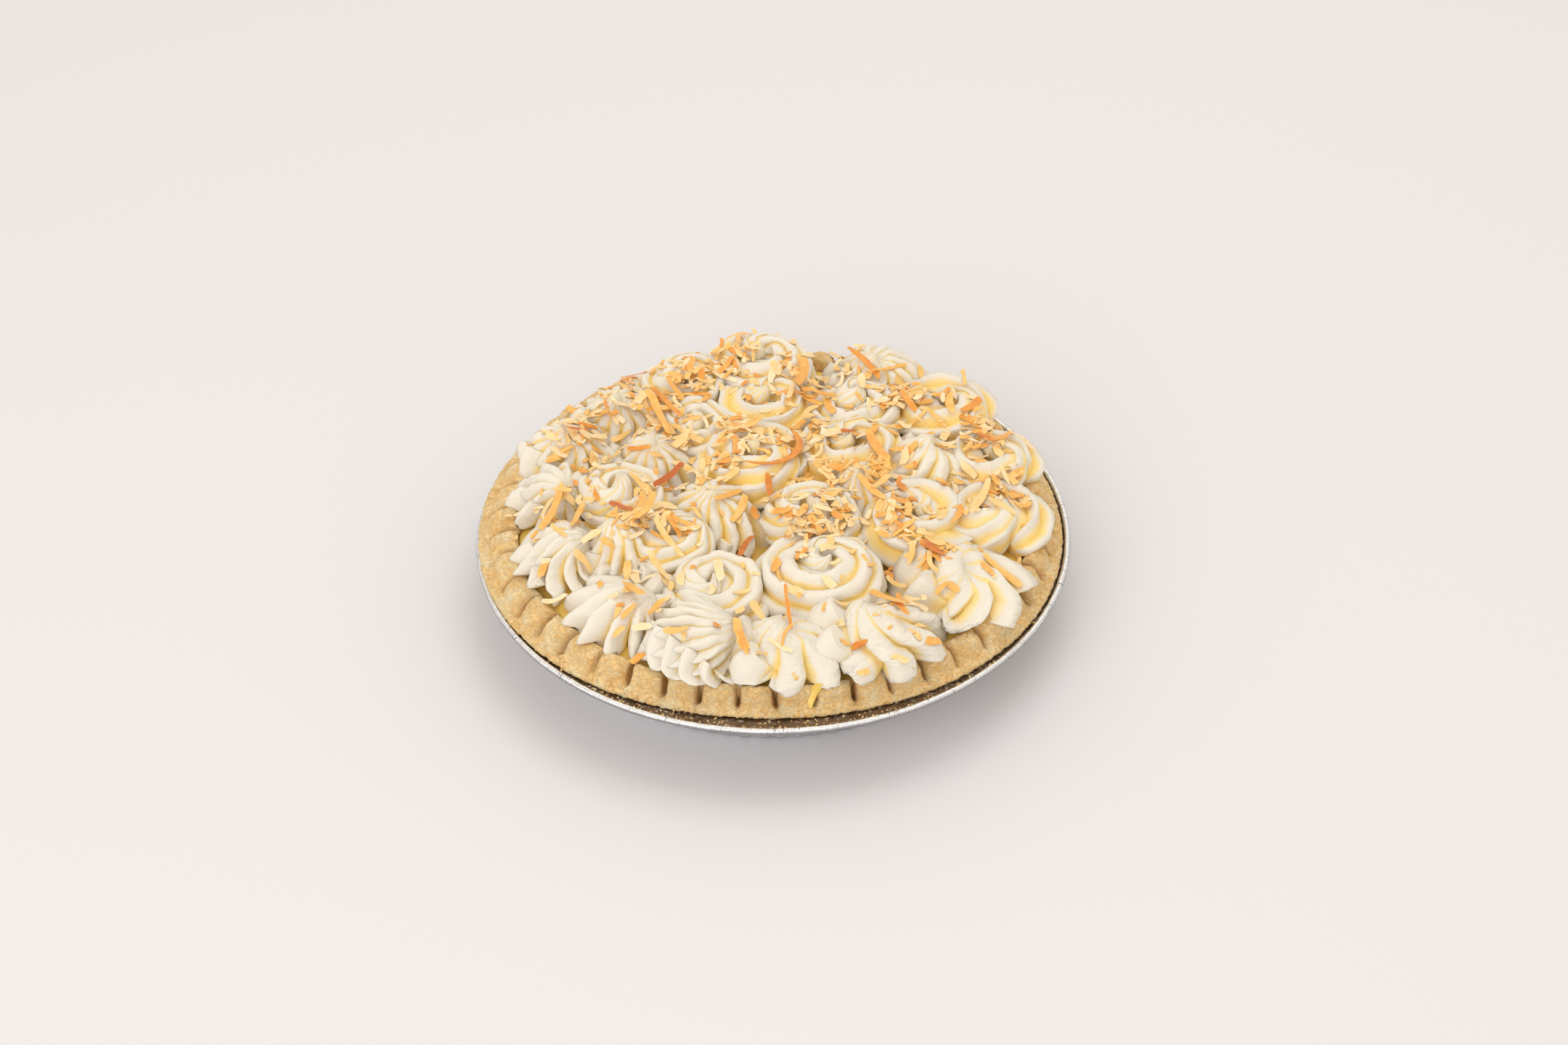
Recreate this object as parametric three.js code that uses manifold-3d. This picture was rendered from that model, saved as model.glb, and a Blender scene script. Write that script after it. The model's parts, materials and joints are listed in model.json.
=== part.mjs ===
// A coconut cream pie in its own foil tin. Millimetres, +Z up.
// The origin is the middle of the tin's flat bottom, on the surface that the pie stands on.
// From below: a thin foil tin, a crimped pastry shell, a custard filling up to just under
// the crimped rim, and piped rosettes of whipped cream with strips of coconut on them.
import * as THREE from 'three';
import Module from 'manifold-3d';

const wasm = await Module();
wasm.setup();

const FULL_TURN = 2 * Math.PI;
const UP = new THREE.Vector3(0, 0, 1);
const CLEARANCE = 0.3;                 // air left between touching pieces

// ---- Driving sizes ----
const TIN = {
  radius: 114,                         // over the rolled bead: a nine-inch tin
  baseRadius: 87.5,
  cornerInset: 0.3,                    // inside corner at the bottom, in from the outside one
  wallTop: 103.6,                      // inside radius where the wall turns out to the flange
  wallTopOuter: 104,
  flangeHeight: 27,
  beadTop: 28.6,
  beadWidth: 2.8,
  beadCrown: 1.4,                      // from the rim in to the bead's highest line
  beadFoot: 1.8,                       // from the rim in to its lowest line
  beadDip: 0.2,                        // how far that line hangs under the flange
  foil: 0.8,                           // thicker than real foil, so that it is one sound solid
  flutes: 60,
  fluteDepth: 0.6,
};
const CRUST = {
  crimps: 46,
  firstNotch: THREE.MathUtils.degToRad(270.3),
  crestInner: 100.2,
  crestOuter: 104.8,
  crestHeight: 36.3,
  crestUnevenness: 1.2,                // between the highest and the lowest lump
  crestRearRise: 0.7,                  // the rim stands higher at the back of the tin
  crestInnerDrop: 0.6,                 // the inside edge is lower than the outside one
  crestDriftShare: 0.6,                // the crest follows this much of the lip's drift
  shoulderInset: 1.7,                  // where the lip turns up into the lump, in from its edge
  shoulderHeight: 33.2,
  shoulderInNotch: 31.6,
  lipRadius: 108.6,
  lipTop: 30.2,
  lipAbove: 0.5,                       // air between the lip and the tin's flange
  lipDrift: 2.1,                       // the lip sits off centre in the tin
  lipDriftBearing: THREE.MathUtils.degToRad(118),
  notchDrop: 2.3,
  notchSetback: 1.3,
  wallInset: 1.3,                      // from the tin's wall in to the shell's, at the flange
  wallAbove: 0.4,
  baseInset: 2,                        // the shell's outside corner, in from the tin's
  floorInset: 4.5,                     // its inside corner
  floorTop: 4.2,
};
const FILLING = {
  top: 30,
  topRadius: 96,
  bottomInset: 4.9,                    // its bottom corner, in from the tin's
  above: 0.4,                          // air over the shell's floor
  segments: 69,                        // every other corner stands on a crimp's notch
};
const ROSETTE_BASE = FILLING.top + CLEARANCE;
// The cream stays inside the crust up to its crest, and may lean out over it above that.
const RIM_LIMIT = { inside: 97, over: 107, crest: 38.2 };

// ---- The piped rosettes ----
// bearing in degrees from +X, distance from the middle, radius, height of the tip above the
// tin's bottom, style (a star drop has sharp ridges, a swirl is a coiled rope), turn in
// degrees, and how many coconut strips lie on it.
const rosette = (bearing, distance, radius, top, style, turn, strips) => ({
  bearing, distance, radius, top, style, turn, strips,
});
const ROSETTES = [
  rosette(177, 84, 23, 49, 'swirl', 40, 2),
  rosette(201, 86, 21, 49, 'star', -35, 1),
  rosette(229, 81, 21.5, 47, 'swirl', 200, 1),
  rosette(252, 83, 20, 47, 'star', 60, 1),
  rosette(273, 83, 20, 49, 'star', 10, 1),
  rosette(295, 83, 22, 49, 'star', -30, 1),
  rosette(325, 88, 27, 49, 'star', -14, 1),
  rosette(351, 85, 25, 50, 'swirl', 300, 1),
  rosette(14, 87, 22, 51, 'swirl', 330, 2),
  rosette(38, 89, 24, 53, 'swirl', 350, 2),
  rosette(62, 89, 22, 54, 'star', 20, 2),
  rosette(93, 85, 21, 54, 'swirl', 90, 2),
  rosette(115, 82, 20, 53, 'swirl', 120, 2),
  rosette(138, 81, 21, 52, 'star', 30, 2),
  rosette(157, 87, 20, 51, 'star', 40, 2),
  rosette(206, 63, 20, 54, 'star', 35, 2),
  rosette(247, 57, 21, 50, 'swirl', 150, 2),
  rosette(291, 48, 25, 52, 'swirl', 60, 2),
  rosette(345, 55, 25, 52, 'swirl', 140, 2),
  rosette(18, 61, 21, 53, 'star', -40, 2),
  rosette(41, 41, 24, 54, 'swirl', 20, 2),
  rosette(58, 63, 21, 53, 'swirl', 100, 2),
  rosette(92, 58, 22, 54, 'swirl', 70, 2),
  rosette(151, 52, 19, 53, 'star', 25, 2),
  rosette(125, 54, 19, 53, 'swirl', 180, 2),
  rosette(179, 59, 20, 54, 'swirl', 210, 2),
  rosette(108, 20, 25, 56, 'swirl', 320, 3),
  rosette(200, 24, 20, 55, 'star', 50, 2),
  rosette(213, 44, 19, 53, 'swirl', 10, 2),
  rosette(315, 20, 21, 55, 'swirl', 230, 3),
  rosette(4, 33, 16, 54, 'star', -20, 2),
].map((piped) => {
  const bearing = THREE.MathUtils.degToRad(piped.bearing);
  const centre = new THREE.Vector2(Math.cos(bearing), Math.sin(bearing));
  return { ...piped, centre: centre.multiplyScalar(piped.distance) };
});
const CELL_GAP = 0.3;                  // air between neighbouring rosettes
const PRESSED_SLOPE = 0.35;            // how steep a side is where a neighbour presses on it

// The rows of each style, from the custard up: rise in millimetres, then share of the whole
// height, radius and groove depth as shares. Two rows stand just under and just over the
// crust's crest. A swirl's upper rows also shrink and climb once round, so that it coils in.
const STYLES = {
  star: {
    samples: 16,                       // eight ridges and eight grooves
    rows: [
      { rise: 0.0, share: 0.00, radius: 0.95, groove: 0.08 },
      { rise: 7.4, share: 0.00, radius: 1.00, groove: 0.14 },
      { rise: 10.4, share: 0.00, radius: 0.98, groove: 0.20 },
      { rise: 0.0, share: 0.82, radius: 0.46, groove: 0.26 },
      { rise: 0.0, share: 0.95, radius: 0.16, groove: 0.20 },
    ],
  },
  swirl: {
    samples: 14,
    rows: [
      { rise: 0.0, share: 0.00, radius: 0.94, groove: 0.02 },
      { rise: 7.4, share: 0.00, radius: 1.00, groove: 0.02 },
      { rise: 10.4, share: 0.00, radius: 1.00, groove: 0.02, shrink: 0.05, climb: 0.04 },
      { rise: 0.0, share: 0.68, radius: 0.84, groove: 0.03, shrink: 0.16, climb: 0.14 },
      { rise: 0.0, share: 0.52, radius: 0.58, groove: 0.03, shrink: 0.16, climb: 0.26 },
      { rise: 0.0, share: 0.86, radius: 0.38, groove: 0.06, shrink: 0.14, climb: 0.10 },
    ],
  },
};

// ---- Helpers ----

// A repeatable source of random numbers from 0 to 1.
function seededRandom(seed) {
  let state = seed;
  return () => {
    state = (state + 0x6d2b79f5) | 0;
    let mixed = Math.imul(state ^ (state >>> 15), 1 | state);
    mixed = (mixed + Math.imul(mixed ^ (mixed >>> 7), 61 | mixed)) ^ mixed;
    return ((mixed ^ (mixed >>> 14)) >>> 0) / 4294967296;
  };
}

// A closed body from rings of points that run anticlockwise seen from above. A point closes
// each end, or a fan across the end ring when no point is given.
function ringBody(rings, firstPoint, lastPoint) {
  const count = rings[0].length;
  const points = rings.flat();
  const faces = [];
  for (let row = 0; row < rings.length - 1; row += 1) {
    for (let column = 0; column < count; column += 1) {
      const next = (column + 1) % count;
      const below = row * count;
      const above = below + count;
      faces.push(below + column, below + next, above + next);
      faces.push(below + column, above + next, above + column);
    }
  }
  const closeEnd = (start, apex, flip) => {
    const apexIndex = apex ? points.push(apex) - 1 : start;
    const from = apex ? 0 : 1;
    const to = apex ? count : count - 1;
    for (let column = from; column < to; column += 1) {
      const here = start + column;
      const next = start + ((column + 1) % count);
      faces.push(apexIndex, flip ? next : here, flip ? here : next);
    }
  };
  closeEnd(0, firstPoint, true);
  closeEnd((rings.length - 1) * count, lastPoint, false);
  return faceted(points.flatMap((point) => [point.x, point.y, point.z]), faces);
}

function faceted(positions, faces) {
  const geometry = new THREE.BufferGeometry();
  geometry.setAttribute('position', new THREE.Float32BufferAttribute(positions, 3));
  geometry.setIndex(faces);
  return geometry;
}

// A ring of points round the pie's middle; place(angle, column) gives radius and height.
function ringRound(segments, startAngle, place) {
  return Array.from({ length: segments }, (_, column) => {
    const angle = startAngle + (column / segments) * FULL_TURN;
    const { radius, height } = place(angle, column);
    return new THREE.Vector3(radius * Math.cos(angle), radius * Math.sin(angle), height);
  });
}

function toSolid(geometry) {
  return new wasm.Manifold(new wasm.Mesh({
    numProp: 3,
    vertProperties: new Float32Array(geometry.getAttribute('position').array),
    triVerts: new Uint32Array(geometry.index.array),
  }));
}

// The largest piece of a solid: a sealed hollow is filled, and a loose scrap is dropped.
function toGeometry(solid) {
  const [largest] = solid.decompose().sort((one, other) => other.volume() - one.volume());
  const mesh = largest.getMesh();
  return faceted(Array.from(mesh.vertProperties), Array.from(mesh.triVerts));
}

// ---- Foil tin: flat bottom, fluted wall, narrow flange and rolled bead ----
function makeTin() {
  const segments = TIN.flutes * 2;
  const flangeUnder = TIN.flangeHeight - TIN.foil;
  const beadMiddle = (TIN.beadTop + flangeUnder) / 2;
  const flute = (column) => (column % 2 ? TIN.fluteDepth : -TIN.fluteDepth);
  const profile = [
    { radius: TIN.baseRadius, height: 0 },
    { radius: TIN.wallTopOuter, height: flangeUnder, fluted: true },
    { radius: TIN.radius - TIN.beadFoot, height: flangeUnder - TIN.beadDip },
    { radius: TIN.radius, height: beadMiddle },
    { radius: TIN.radius - TIN.beadCrown, height: TIN.beadTop },
    { radius: TIN.radius - TIN.beadWidth, height: TIN.flangeHeight },
    { radius: TIN.wallTop, height: TIN.flangeHeight, fluted: true },
    { radius: TIN.baseRadius - TIN.cornerInset, height: TIN.foil },
  ];
  const rings = profile.map(({ radius, height, fluted }) => (
    ringRound(segments, 0, (angle, column) => (
      { radius: radius + (fluted ? flute(column) : 0), height }
    ))
  ));
  return ringBody(rings, new THREE.Vector3(), new THREE.Vector3(0, 0, TIN.foil));
}

// ---- Pastry shell: floor, wall and a rim pressed into a notch and a lump for each crimp ----
function makeCrust() {
  const pointsPerCrimp = 3;            // the notch, the steep side and the soft side of a lump
  const segments = CRUST.crimps * pointsPerCrimp;
  const random = seededRandom(46);
  const lumps = Array.from({ length: CRUST.crimps }, () => (
    (random() - 0.5) * CRUST.crestUnevenness
  ));
  const lumpAt = (column) => lumps[Math.floor(column / pointsPerCrimp)];
  const isNotch = (column) => column % pointsPerCrimp === 0;
  const drift = (angle) => CRUST.lipDrift * Math.cos(angle - CRUST.lipDriftBearing);
  const crestAt = (angle, column) => (
    CRUST.crestHeight
    + lumpAt(column)
    + CRUST.crestRearRise * Math.sin(angle)
    - (isNotch(column) ? CRUST.notchDrop : 0)
  );
  const ring = (place) => ringRound(segments, CRUST.firstNotch, place);
  const plain = (radius, height) => ring(() => ({ radius, height }));
  const bottomHeight = TIN.foil + CLEARANCE;
  const rings = [
    plain(TIN.baseRadius - CRUST.baseInset, bottomHeight),
    plain(TIN.wallTop - CRUST.wallInset, TIN.flangeHeight + CRUST.wallAbove),
    ring((angle) => ({
      radius: CRUST.lipRadius + drift(angle),
      height: TIN.flangeHeight + CRUST.lipAbove,
    })),
    ring((angle, column) => ({
      radius: CRUST.lipRadius + drift(angle) + lumpAt(column) / 2,
      height: CRUST.lipTop,
    })),
    ring((angle, column) => ({
      radius: CRUST.lipRadius - CRUST.shoulderInset + drift(angle),
      height: isNotch(column) ? CRUST.shoulderInNotch : CRUST.shoulderHeight,
    })),
    ring((angle, column) => ({
      radius: CRUST.crestOuter + drift(angle) * CRUST.crestDriftShare,
      height: crestAt(angle, column),
    })),
    ring((angle, column) => ({
      radius: CRUST.crestInner + (isNotch(column) ? CRUST.notchSetback : 0),
      height: crestAt(angle, column) - CRUST.crestInnerDrop,
    })),
    plain(TIN.baseRadius - CRUST.floorInset, CRUST.floorTop),
  ];
  return ringBody(
    rings,
    new THREE.Vector3(0, 0, bottomHeight),
    new THREE.Vector3(0, 0, CRUST.floorTop),
  );
}

// ---- Custard: fills the shell up to a flat top under the cream ----
function makeCustard() {
  const bottomHeight = CRUST.floorTop + FILLING.above;
  const ring = (radius, height) => (
    ringRound(FILLING.segments, CRUST.firstNotch, () => ({ radius, height }))
  );
  return ringBody(
    [
      ring(TIN.baseRadius - FILLING.bottomInset, bottomHeight),
      ring(FILLING.topRadius, FILLING.top),
    ],
    new THREE.Vector3(0, 0, bottomHeight),
    new THREE.Vector3(0, 0, FILLING.top),
  );
}

// ---- Rosettes ----

// How far a rosette may reach from its centre in one direction before it would touch a
// neighbour: piped cream flattens where two rosettes meet.
function reachToNeighbours(index, direction) {
  const own = ROSETTES[index];
  let reach = Infinity;
  ROSETTES.forEach((other, otherIndex) => {
    if (otherIndex === index) return;
    const between = other.centre.clone().sub(own.centre);
    const apart = between.length();
    const along = direction.dot(between) / apart;
    if (along <= 0) return;
    const toBorder = (apart ** 2 + own.radius ** 2 - other.radius ** 2) / (2 * apart);
    reach = Math.min(reach, (toBorder - CELL_GAP / 2) / along);
  });
  return reach;
}

// How far it may reach before it would touch the crust.
function reachToCrust(centre, direction, height) {
  const limit = height < RIM_LIMIT.crest ? RIM_LIMIT.inside : RIM_LIMIT.over;
  const along = centre.dot(direction);
  return -along + Math.sqrt(along ** 2 + limit ** 2 - centre.lengthSq());
}

function makeRosette(index) {
  const { centre, radius, top, style, turn } = ROSETTES[index];
  const { samples, rows } = STYLES[style];
  const tall = top - ROSETTE_BASE;
  const turnAngle = THREE.MathUtils.degToRad(turn);
  const rings = rows.map((row) => Array.from({ length: samples }, (_, column) => {
    const round = column / samples;
    const height = ROSETTE_BASE + row.rise + tall * (row.share + round * (row.climb ?? 0));
    const climbed = style === 'star' ? (height - ROSETTE_BASE) / tall : 1;
    const angle = round * FULL_TURN + turnAngle * climbed;
    const direction = new THREE.Vector2(Math.cos(angle), Math.sin(angle));
    const inGroove = column % 2;
    const full = radius * (row.radius - round * (row.shrink ?? 0)) * (1 - inGroove * row.groove);
    const limit = Math.min(
      reachToNeighbours(index, direction),
      reachToCrust(centre, direction, height),
    );
    const reach = Math.min(full, limit * (full / radius) ** PRESSED_SLOPE);
    return new THREE.Vector3(
      centre.x + reach * direction.x,
      centre.y + reach * direction.y,
      height,
    );
  }));
  const base = new THREE.Vector3(centre.x, centre.y, ROSETTE_BASE);
  return ringBody(rings, base, new THREE.Vector3(centre.x, centre.y, top));
}

// ---- Coconut strips: thin bent slats that bridge the ridges of the cream they lie on ----
const STRIP = {
  shortest: 8,
  longest: 17,
  width: 2.3,
  widthSpread: 0.4,                    // between the widest and the narrowest, as a share
  thickness: 1,
  bend: 0.9,                           // the most that a strip turns along its length, radians
  sunk: 0.25,                          // how far its ends sit in the cream
  arch: 1.1,                           // how far its middle stands off
  nearest: 0.15,                       // where its middle may lie, as shares of the radius
  farthest: 0.65,
  edge: 0.86,                          // how far out its ends may reach
  sideRoom: 2.1,                       // kept free beside a neighbouring rosette
};
const STRIP_STEPS = [0, 0.5, 1];
const STRIP_TRIES = 200;
const SHORTEST_EDGE = 0.04;            // a strip whose join would leave slivers is tried again
const OVERHEAD = 100;                  // a height clear above the whole pie

function surfaceHeight(mesh, x, y) {
  const ray = new THREE.Raycaster(new THREE.Vector3(x, y, OVERHEAD), new THREE.Vector3(0, 0, -1));
  const [hit] = ray.intersectObject(mesh);
  return hit ? hit.point.z : null;
}

// A strip from its middle line: four corners at each step, closed at both ends.
function stripGeometry(line, width) {
  const rings = line.map((point, step) => {
    const before = line[Math.max(step - 1, 0)];
    const after = line[Math.min(step + 1, line.length - 1)];
    const along = after.clone().sub(before).normalize();
    const across = UP.clone().cross(along).normalize().multiplyScalar(width / 2);
    const lift = along.clone().cross(across).normalize().multiplyScalar(STRIP.thickness / 2);
    return [[-1, -1], [-1, 1], [1, 1], [1, -1]].map(([side, face]) => (
      point.clone().addScaledVector(across, side).addScaledVector(lift, -face)
    ));
  });
  return ringBody(rings, null, null);
}

// The middle line of one strip on a rosette, or null where it would run off its rosette.
function stripLine(index, mesh, random) {
  const { centre, radius } = ROSETTES[index];
  const length = THREE.MathUtils.lerp(STRIP.shortest, STRIP.longest, random() ** 1.5);
  const around = random() * FULL_TURN;
  const out = radius * THREE.MathUtils.lerp(STRIP.nearest, STRIP.farthest, random());
  const heading = random() * FULL_TURN;
  const bend = (random() - 0.5) * STRIP.bend;
  const middle = new THREE.Vector2(Math.cos(around), Math.sin(around))
    .multiplyScalar(out)
    .add(centre);
  const line = STRIP_STEPS.map((share) => {
    const angle = heading + bend * (share - 0.5);
    const spot = new THREE.Vector2(Math.cos(angle), Math.sin(angle))
      .multiplyScalar((share - 0.5) * length)
      .add(middle);
    const fromCentre = spot.clone().sub(centre);
    const distance = fromCentre.length();
    const reach = reachToNeighbours(index, fromCentre.normalize());
    if (distance > Math.min(reach - STRIP.sideRoom, radius * STRIP.edge)) return null;
    const height = surfaceHeight(mesh, spot.x, spot.y);
    return height === null ? null : new THREE.Vector3(spot.x, spot.y, height);
  });
  if (line.includes(null)) return null;
  const [start, middlePoint, end] = line;
  middlePoint.z = Math.max(middlePoint.z, (start.z + end.z) / 2) + STRIP.arch;
  start.z -= STRIP.sunk;
  end.z -= STRIP.sunk;
  return line;
}

function shortestEdge(solid) {
  const { vertProperties, triVerts } = solid.getMesh();
  const corner = (vertex) => new THREE.Vector3().fromArray(vertProperties, vertex * 3);
  let shortest = Infinity;
  for (let face = 0; face < triVerts.length; face += 3) {
    for (let side = 0; side < 3; side += 1) {
      const from = corner(triVerts[face + side]);
      const to = corner(triVerts[face + ((side + 1) % 3)]);
      shortest = Math.min(shortest, from.distanceTo(to));
    }
  }
  return shortest;
}

function withStrips(index, geometry, random) {
  const bare = new THREE.Mesh(geometry);
  let solid = toSolid(geometry);
  let left = ROSETTES[index].strips;
  for (let attempt = 0; attempt < STRIP_TRIES && left > 0; attempt += 1) {
    const line = stripLine(index, bare, random);
    const width = STRIP.width * (1 + (random() - 0.5) * STRIP.widthSpread);
    if (line) {
      const joined = solid.add(toSolid(stripGeometry(line, width)));
      if (shortestEdge(joined) > SHORTEST_EDGE) {
        solid = joined;
        left -= 1;
      }
    }
  }
  return toGeometry(solid);
}

// ---- The pie ----
const material = (color, roughness, metalness) => (
  new THREE.MeshStandardMaterial({ color, roughness, metalness })
);
const FOIL = material(0xc9cacc, 0.3, 1);
const PASTRY = material(0xd9b47c, 0.8, 0);
const CUSTARD = material(0xe9c75c, 0.35, 0);
const CREAM = material(0xf6f0dc, 0.55, 0);

const pie = new THREE.Group();

function addPart(name, geometry, finish) {
  const mesh = new THREE.Mesh(geometry, finish);
  mesh.name = name;
  pie.add(mesh);
}

addPart('foil_tin', makeTin(), FOIL);
addPart('pie_crust', makeCrust(), PASTRY);
addPart('coconut_custard', makeCustard(), CUSTARD);

const stripRandom = seededRandom(1881);
ROSETTES.forEach((_, index) => {
  const name = `rosette_${String(index + 1).padStart(2, '0')}`;
  addPart(name, withStrips(index, makeRosette(index), stripRandom), CREAM);
});

export default pie;
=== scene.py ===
# %% [markdown]
# # A coconut cream pie
#
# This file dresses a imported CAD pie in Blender: a foil tin, a crimped pastry rim, custard,
# piped whipped cream and toasted coconut. The CAD model says where each piece is and how big
# it is. Here each plain solid gets a detailed piece in its place, with a procedural material.
# We work in metres, in the CAD's own frame: the pie stands on z = 0, and -Y is the front.

import json
import math
from collections import Counter

import bpy
import numpy as np
from mathutils import Matrix, Vector
from mathutils.bvhtree import BVHTree

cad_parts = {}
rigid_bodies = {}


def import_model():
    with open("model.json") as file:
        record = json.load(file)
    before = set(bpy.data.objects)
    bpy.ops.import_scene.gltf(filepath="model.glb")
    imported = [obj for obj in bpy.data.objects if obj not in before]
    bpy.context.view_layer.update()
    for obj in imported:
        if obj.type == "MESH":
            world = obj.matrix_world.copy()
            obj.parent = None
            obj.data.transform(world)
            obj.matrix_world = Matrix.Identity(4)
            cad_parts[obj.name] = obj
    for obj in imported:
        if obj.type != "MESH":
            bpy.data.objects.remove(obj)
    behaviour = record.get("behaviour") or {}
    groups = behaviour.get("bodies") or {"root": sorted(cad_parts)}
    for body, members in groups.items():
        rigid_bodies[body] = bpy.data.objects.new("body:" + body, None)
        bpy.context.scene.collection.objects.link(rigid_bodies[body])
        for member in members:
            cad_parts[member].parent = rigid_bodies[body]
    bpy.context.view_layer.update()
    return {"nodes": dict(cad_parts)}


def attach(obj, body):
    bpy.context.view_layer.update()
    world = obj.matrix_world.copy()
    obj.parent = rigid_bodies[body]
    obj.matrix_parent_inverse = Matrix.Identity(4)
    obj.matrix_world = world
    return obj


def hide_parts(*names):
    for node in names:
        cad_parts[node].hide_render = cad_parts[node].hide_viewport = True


for leftover in list(bpy.data.objects):
    bpy.data.objects.remove(leftover)  # Blender's own first cube, light and camera
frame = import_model()
MM = 0.001

# %% [markdown]
# ## Trees of nodes, written as sums
#
# Blender's shapes and materials can both be built from nodes, which are boxes joined by
# wires. Clicking them together is slow to read back, so we wrap one wire in a small class.
# Adding or multiplying two wires then adds a Math node, and the Python reads like the
# formula that it makes. Every other node comes from one method, `Tree.add`.


# %% The wire and the tree
def forwards(operation):
    """The method behind wire + other, and its like."""
    return lambda self, other: self.calc(operation, self, other)


def reflected(operation):
    """The method behind 1 - wire, where the wire comes second."""
    return lambda self, other: self.calc(operation, other, self)


def alone(operation):
    """The method behind a function of one wire, such as its sine."""
    return lambda self: self.calc(operation, self)


class Wire:
    """An output socket. Sums on wires add Math or Vector Math nodes to their tree."""

    __add__, __radd__ = forwards("ADD"), reflected("ADD")
    __sub__, __rsub__ = forwards("SUBTRACT"), reflected("SUBTRACT")
    __mul__, __rmul__ = forwards("MULTIPLY"), reflected("MULTIPLY")
    __truediv__, __rtruediv__ = forwards("DIVIDE"), reflected("DIVIDE")
    __pow__ = forwards("POWER")
    sin, cos, floor = alone("SINE"), alone("COSINE"), alone("FLOOR")
    fraction, absolute, exponent = alone("FRACT"), alone("ABSOLUTE"), alone("EXPONENT")

    def __init__(self, tree, socket):
        self.tree, self.socket = tree, socket

    def __getitem__(self, name):
        """Another output of the same node."""
        return Wire(self.tree, self.socket.node.outputs[name])

    def __neg__(self):
        return self * -1.0

    def calc(self, operation, *terms):
        """One Math node, or a Vector Math node where any of the terms is a vector."""
        is_vector = any(
            isinstance(t, tuple) or (isinstance(t, Wire) and t.socket.type == "VECTOR") for t in terms
        )
        if is_vector:
            terms = [(t, t, t) if isinstance(t, (int, float)) else t for t in terms]
        kind = "ShaderNodeVectorMath" if is_vector else "ShaderNodeMath"
        return self.tree.add(kind, {"operation": operation}, terms)

    def at_least(self, low):
        return self.calc("MAXIMUM", self, low)

    def clamp(self, low, high):
        return self.calc("MINIMUM", self.at_least(low), high)

    def step(self, low, high, start=0.0, end=1.0):
        """Runs smoothly from start to end as the wire goes from low to high."""
        settings = {"interpolation_type": "SMOOTHSTEP"}
        return self.tree.add("ShaderNodeMapRange", settings, [self, low, high, start, end])


class Tree:
    """A node tree that is filled in with `add`."""

    def __init__(self, data):
        self.data = data

    def add(self, kind, settings=None, values=()):
        """One node: its settings first, then the values or wires of its sockets."""
        node = self.data.nodes.new(kind)
        for name, value in (settings or {}).items():
            if name == "stops":
                set_stops(node, value)
            else:
                setattr(node, name, value)
        sockets = [socket for socket in node.inputs if socket.enabled]
        pairs = values.items() if isinstance(values, dict) else enumerate(values)
        for key, value in pairs:
            named = [socket for socket in sockets if socket.name == key]
            socket = named[0] if named else sockets[key]
            if isinstance(value, Wire):
                self.data.links.new(value.socket, socket)
            elif value is not None:
                socket.default_value = value
        outputs = [socket for socket in node.outputs if socket.enabled]
        return Wire(self, outputs[0]) if outputs else node

    def noise(self, where, size, detail=2.0, rough=0.5, out="Fac"):
        """Cloudy noise with features of that size in metres."""
        values = {"Vector": where, "Scale": 1 / size, "Detail": detail, "Roughness": rough}
        return self.add("ShaderNodeTexNoise", None, values)[out]

    def vector(self, x, y, z):
        return self.add("ShaderNodeCombineXYZ", None, [x, y, z])

    def parts(self, vector):
        split = self.add("ShaderNodeSeparateXYZ", None, [vector])
        return split["X"], split["Y"], split["Z"]


def set_stops(node, stops):
    """The stops of a colour ramp, or the points of a float curve."""
    if node.bl_idname == "ShaderNodeValToRGB":
        elements = node.color_ramp.elements
        for place, colour in stops[2:]:
            elements.new(place)
        for element, (place, colour) in zip(elements, stops):
            element.position, element.color = place, colour
    else:
        points = node.mapping.curves[0].points
        for x, y in stops[2:]:
            points.new(x, y)
        for point, (x, y) in zip(points, stops):
            point.location = (x, y)
        node.mapping.update()


practice = Tree(bpy.data.node_groups.new("Practice", "ShaderNodeTree"))
formula = 1.0 - practice.add("ShaderNodeValue").sin() * 2.0
last_step = formula.socket.node.operation.lower()
print("1 - sin(value) * 2 makes", len(practice.data.nodes), "nodes, the last to", last_step)
bpy.data.node_groups.remove(practice.data)

# %% [markdown]
# ## Growing a mesh
#
# A Geometry Nodes tree is a recipe with named inputs. `new_growth` makes an empty recipe,
# and `grow` runs it once, with its inputs set by each socket's identifier, and keeps the
# result as a plain mesh. Nothing is left live.


# %% Recipes and what they grow
def put_in_scene(name, data):
    """A new object that holds the data."""
    thing = bpy.data.objects.new(name, data)
    bpy.context.scene.collection.objects.link(thing)
    return thing


def new_growth(title, inputs):
    """An empty recipe: its tree, and the wire of its inputs, the first of which is a mesh."""
    data = bpy.data.node_groups.new(title, "GeometryNodeTree")
    data.interface.new_socket("Geometry", in_out="OUTPUT", socket_type="NodeSocketGeometry")
    data.interface.new_socket("Geometry", in_out="INPUT", socket_type="NodeSocketGeometry")
    for name, kind in {**inputs, "Material": "Material"}.items():
        data.interface.new_socket(name, in_out="INPUT", socket_type="NodeSocket" + kind)
    tree = Tree(data)
    return tree, tree.add("NodeGroupInput")


def finish_growth(tree, given, geometry, smooth=True):
    """Ends a recipe: everything real, smooth or faceted, and painted."""
    real = tree.add("GeometryNodeRealizeInstances", None, [geometry])
    shaded = tree.add("GeometryNodeSetShadeSmooth", None, [real, None, smooth])
    painted = tree.add("GeometryNodeSetMaterial", None, [shaded, None, given["Material"]])
    tree.add("NodeGroupOutput", None, [painted])
    return tree.data


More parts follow.
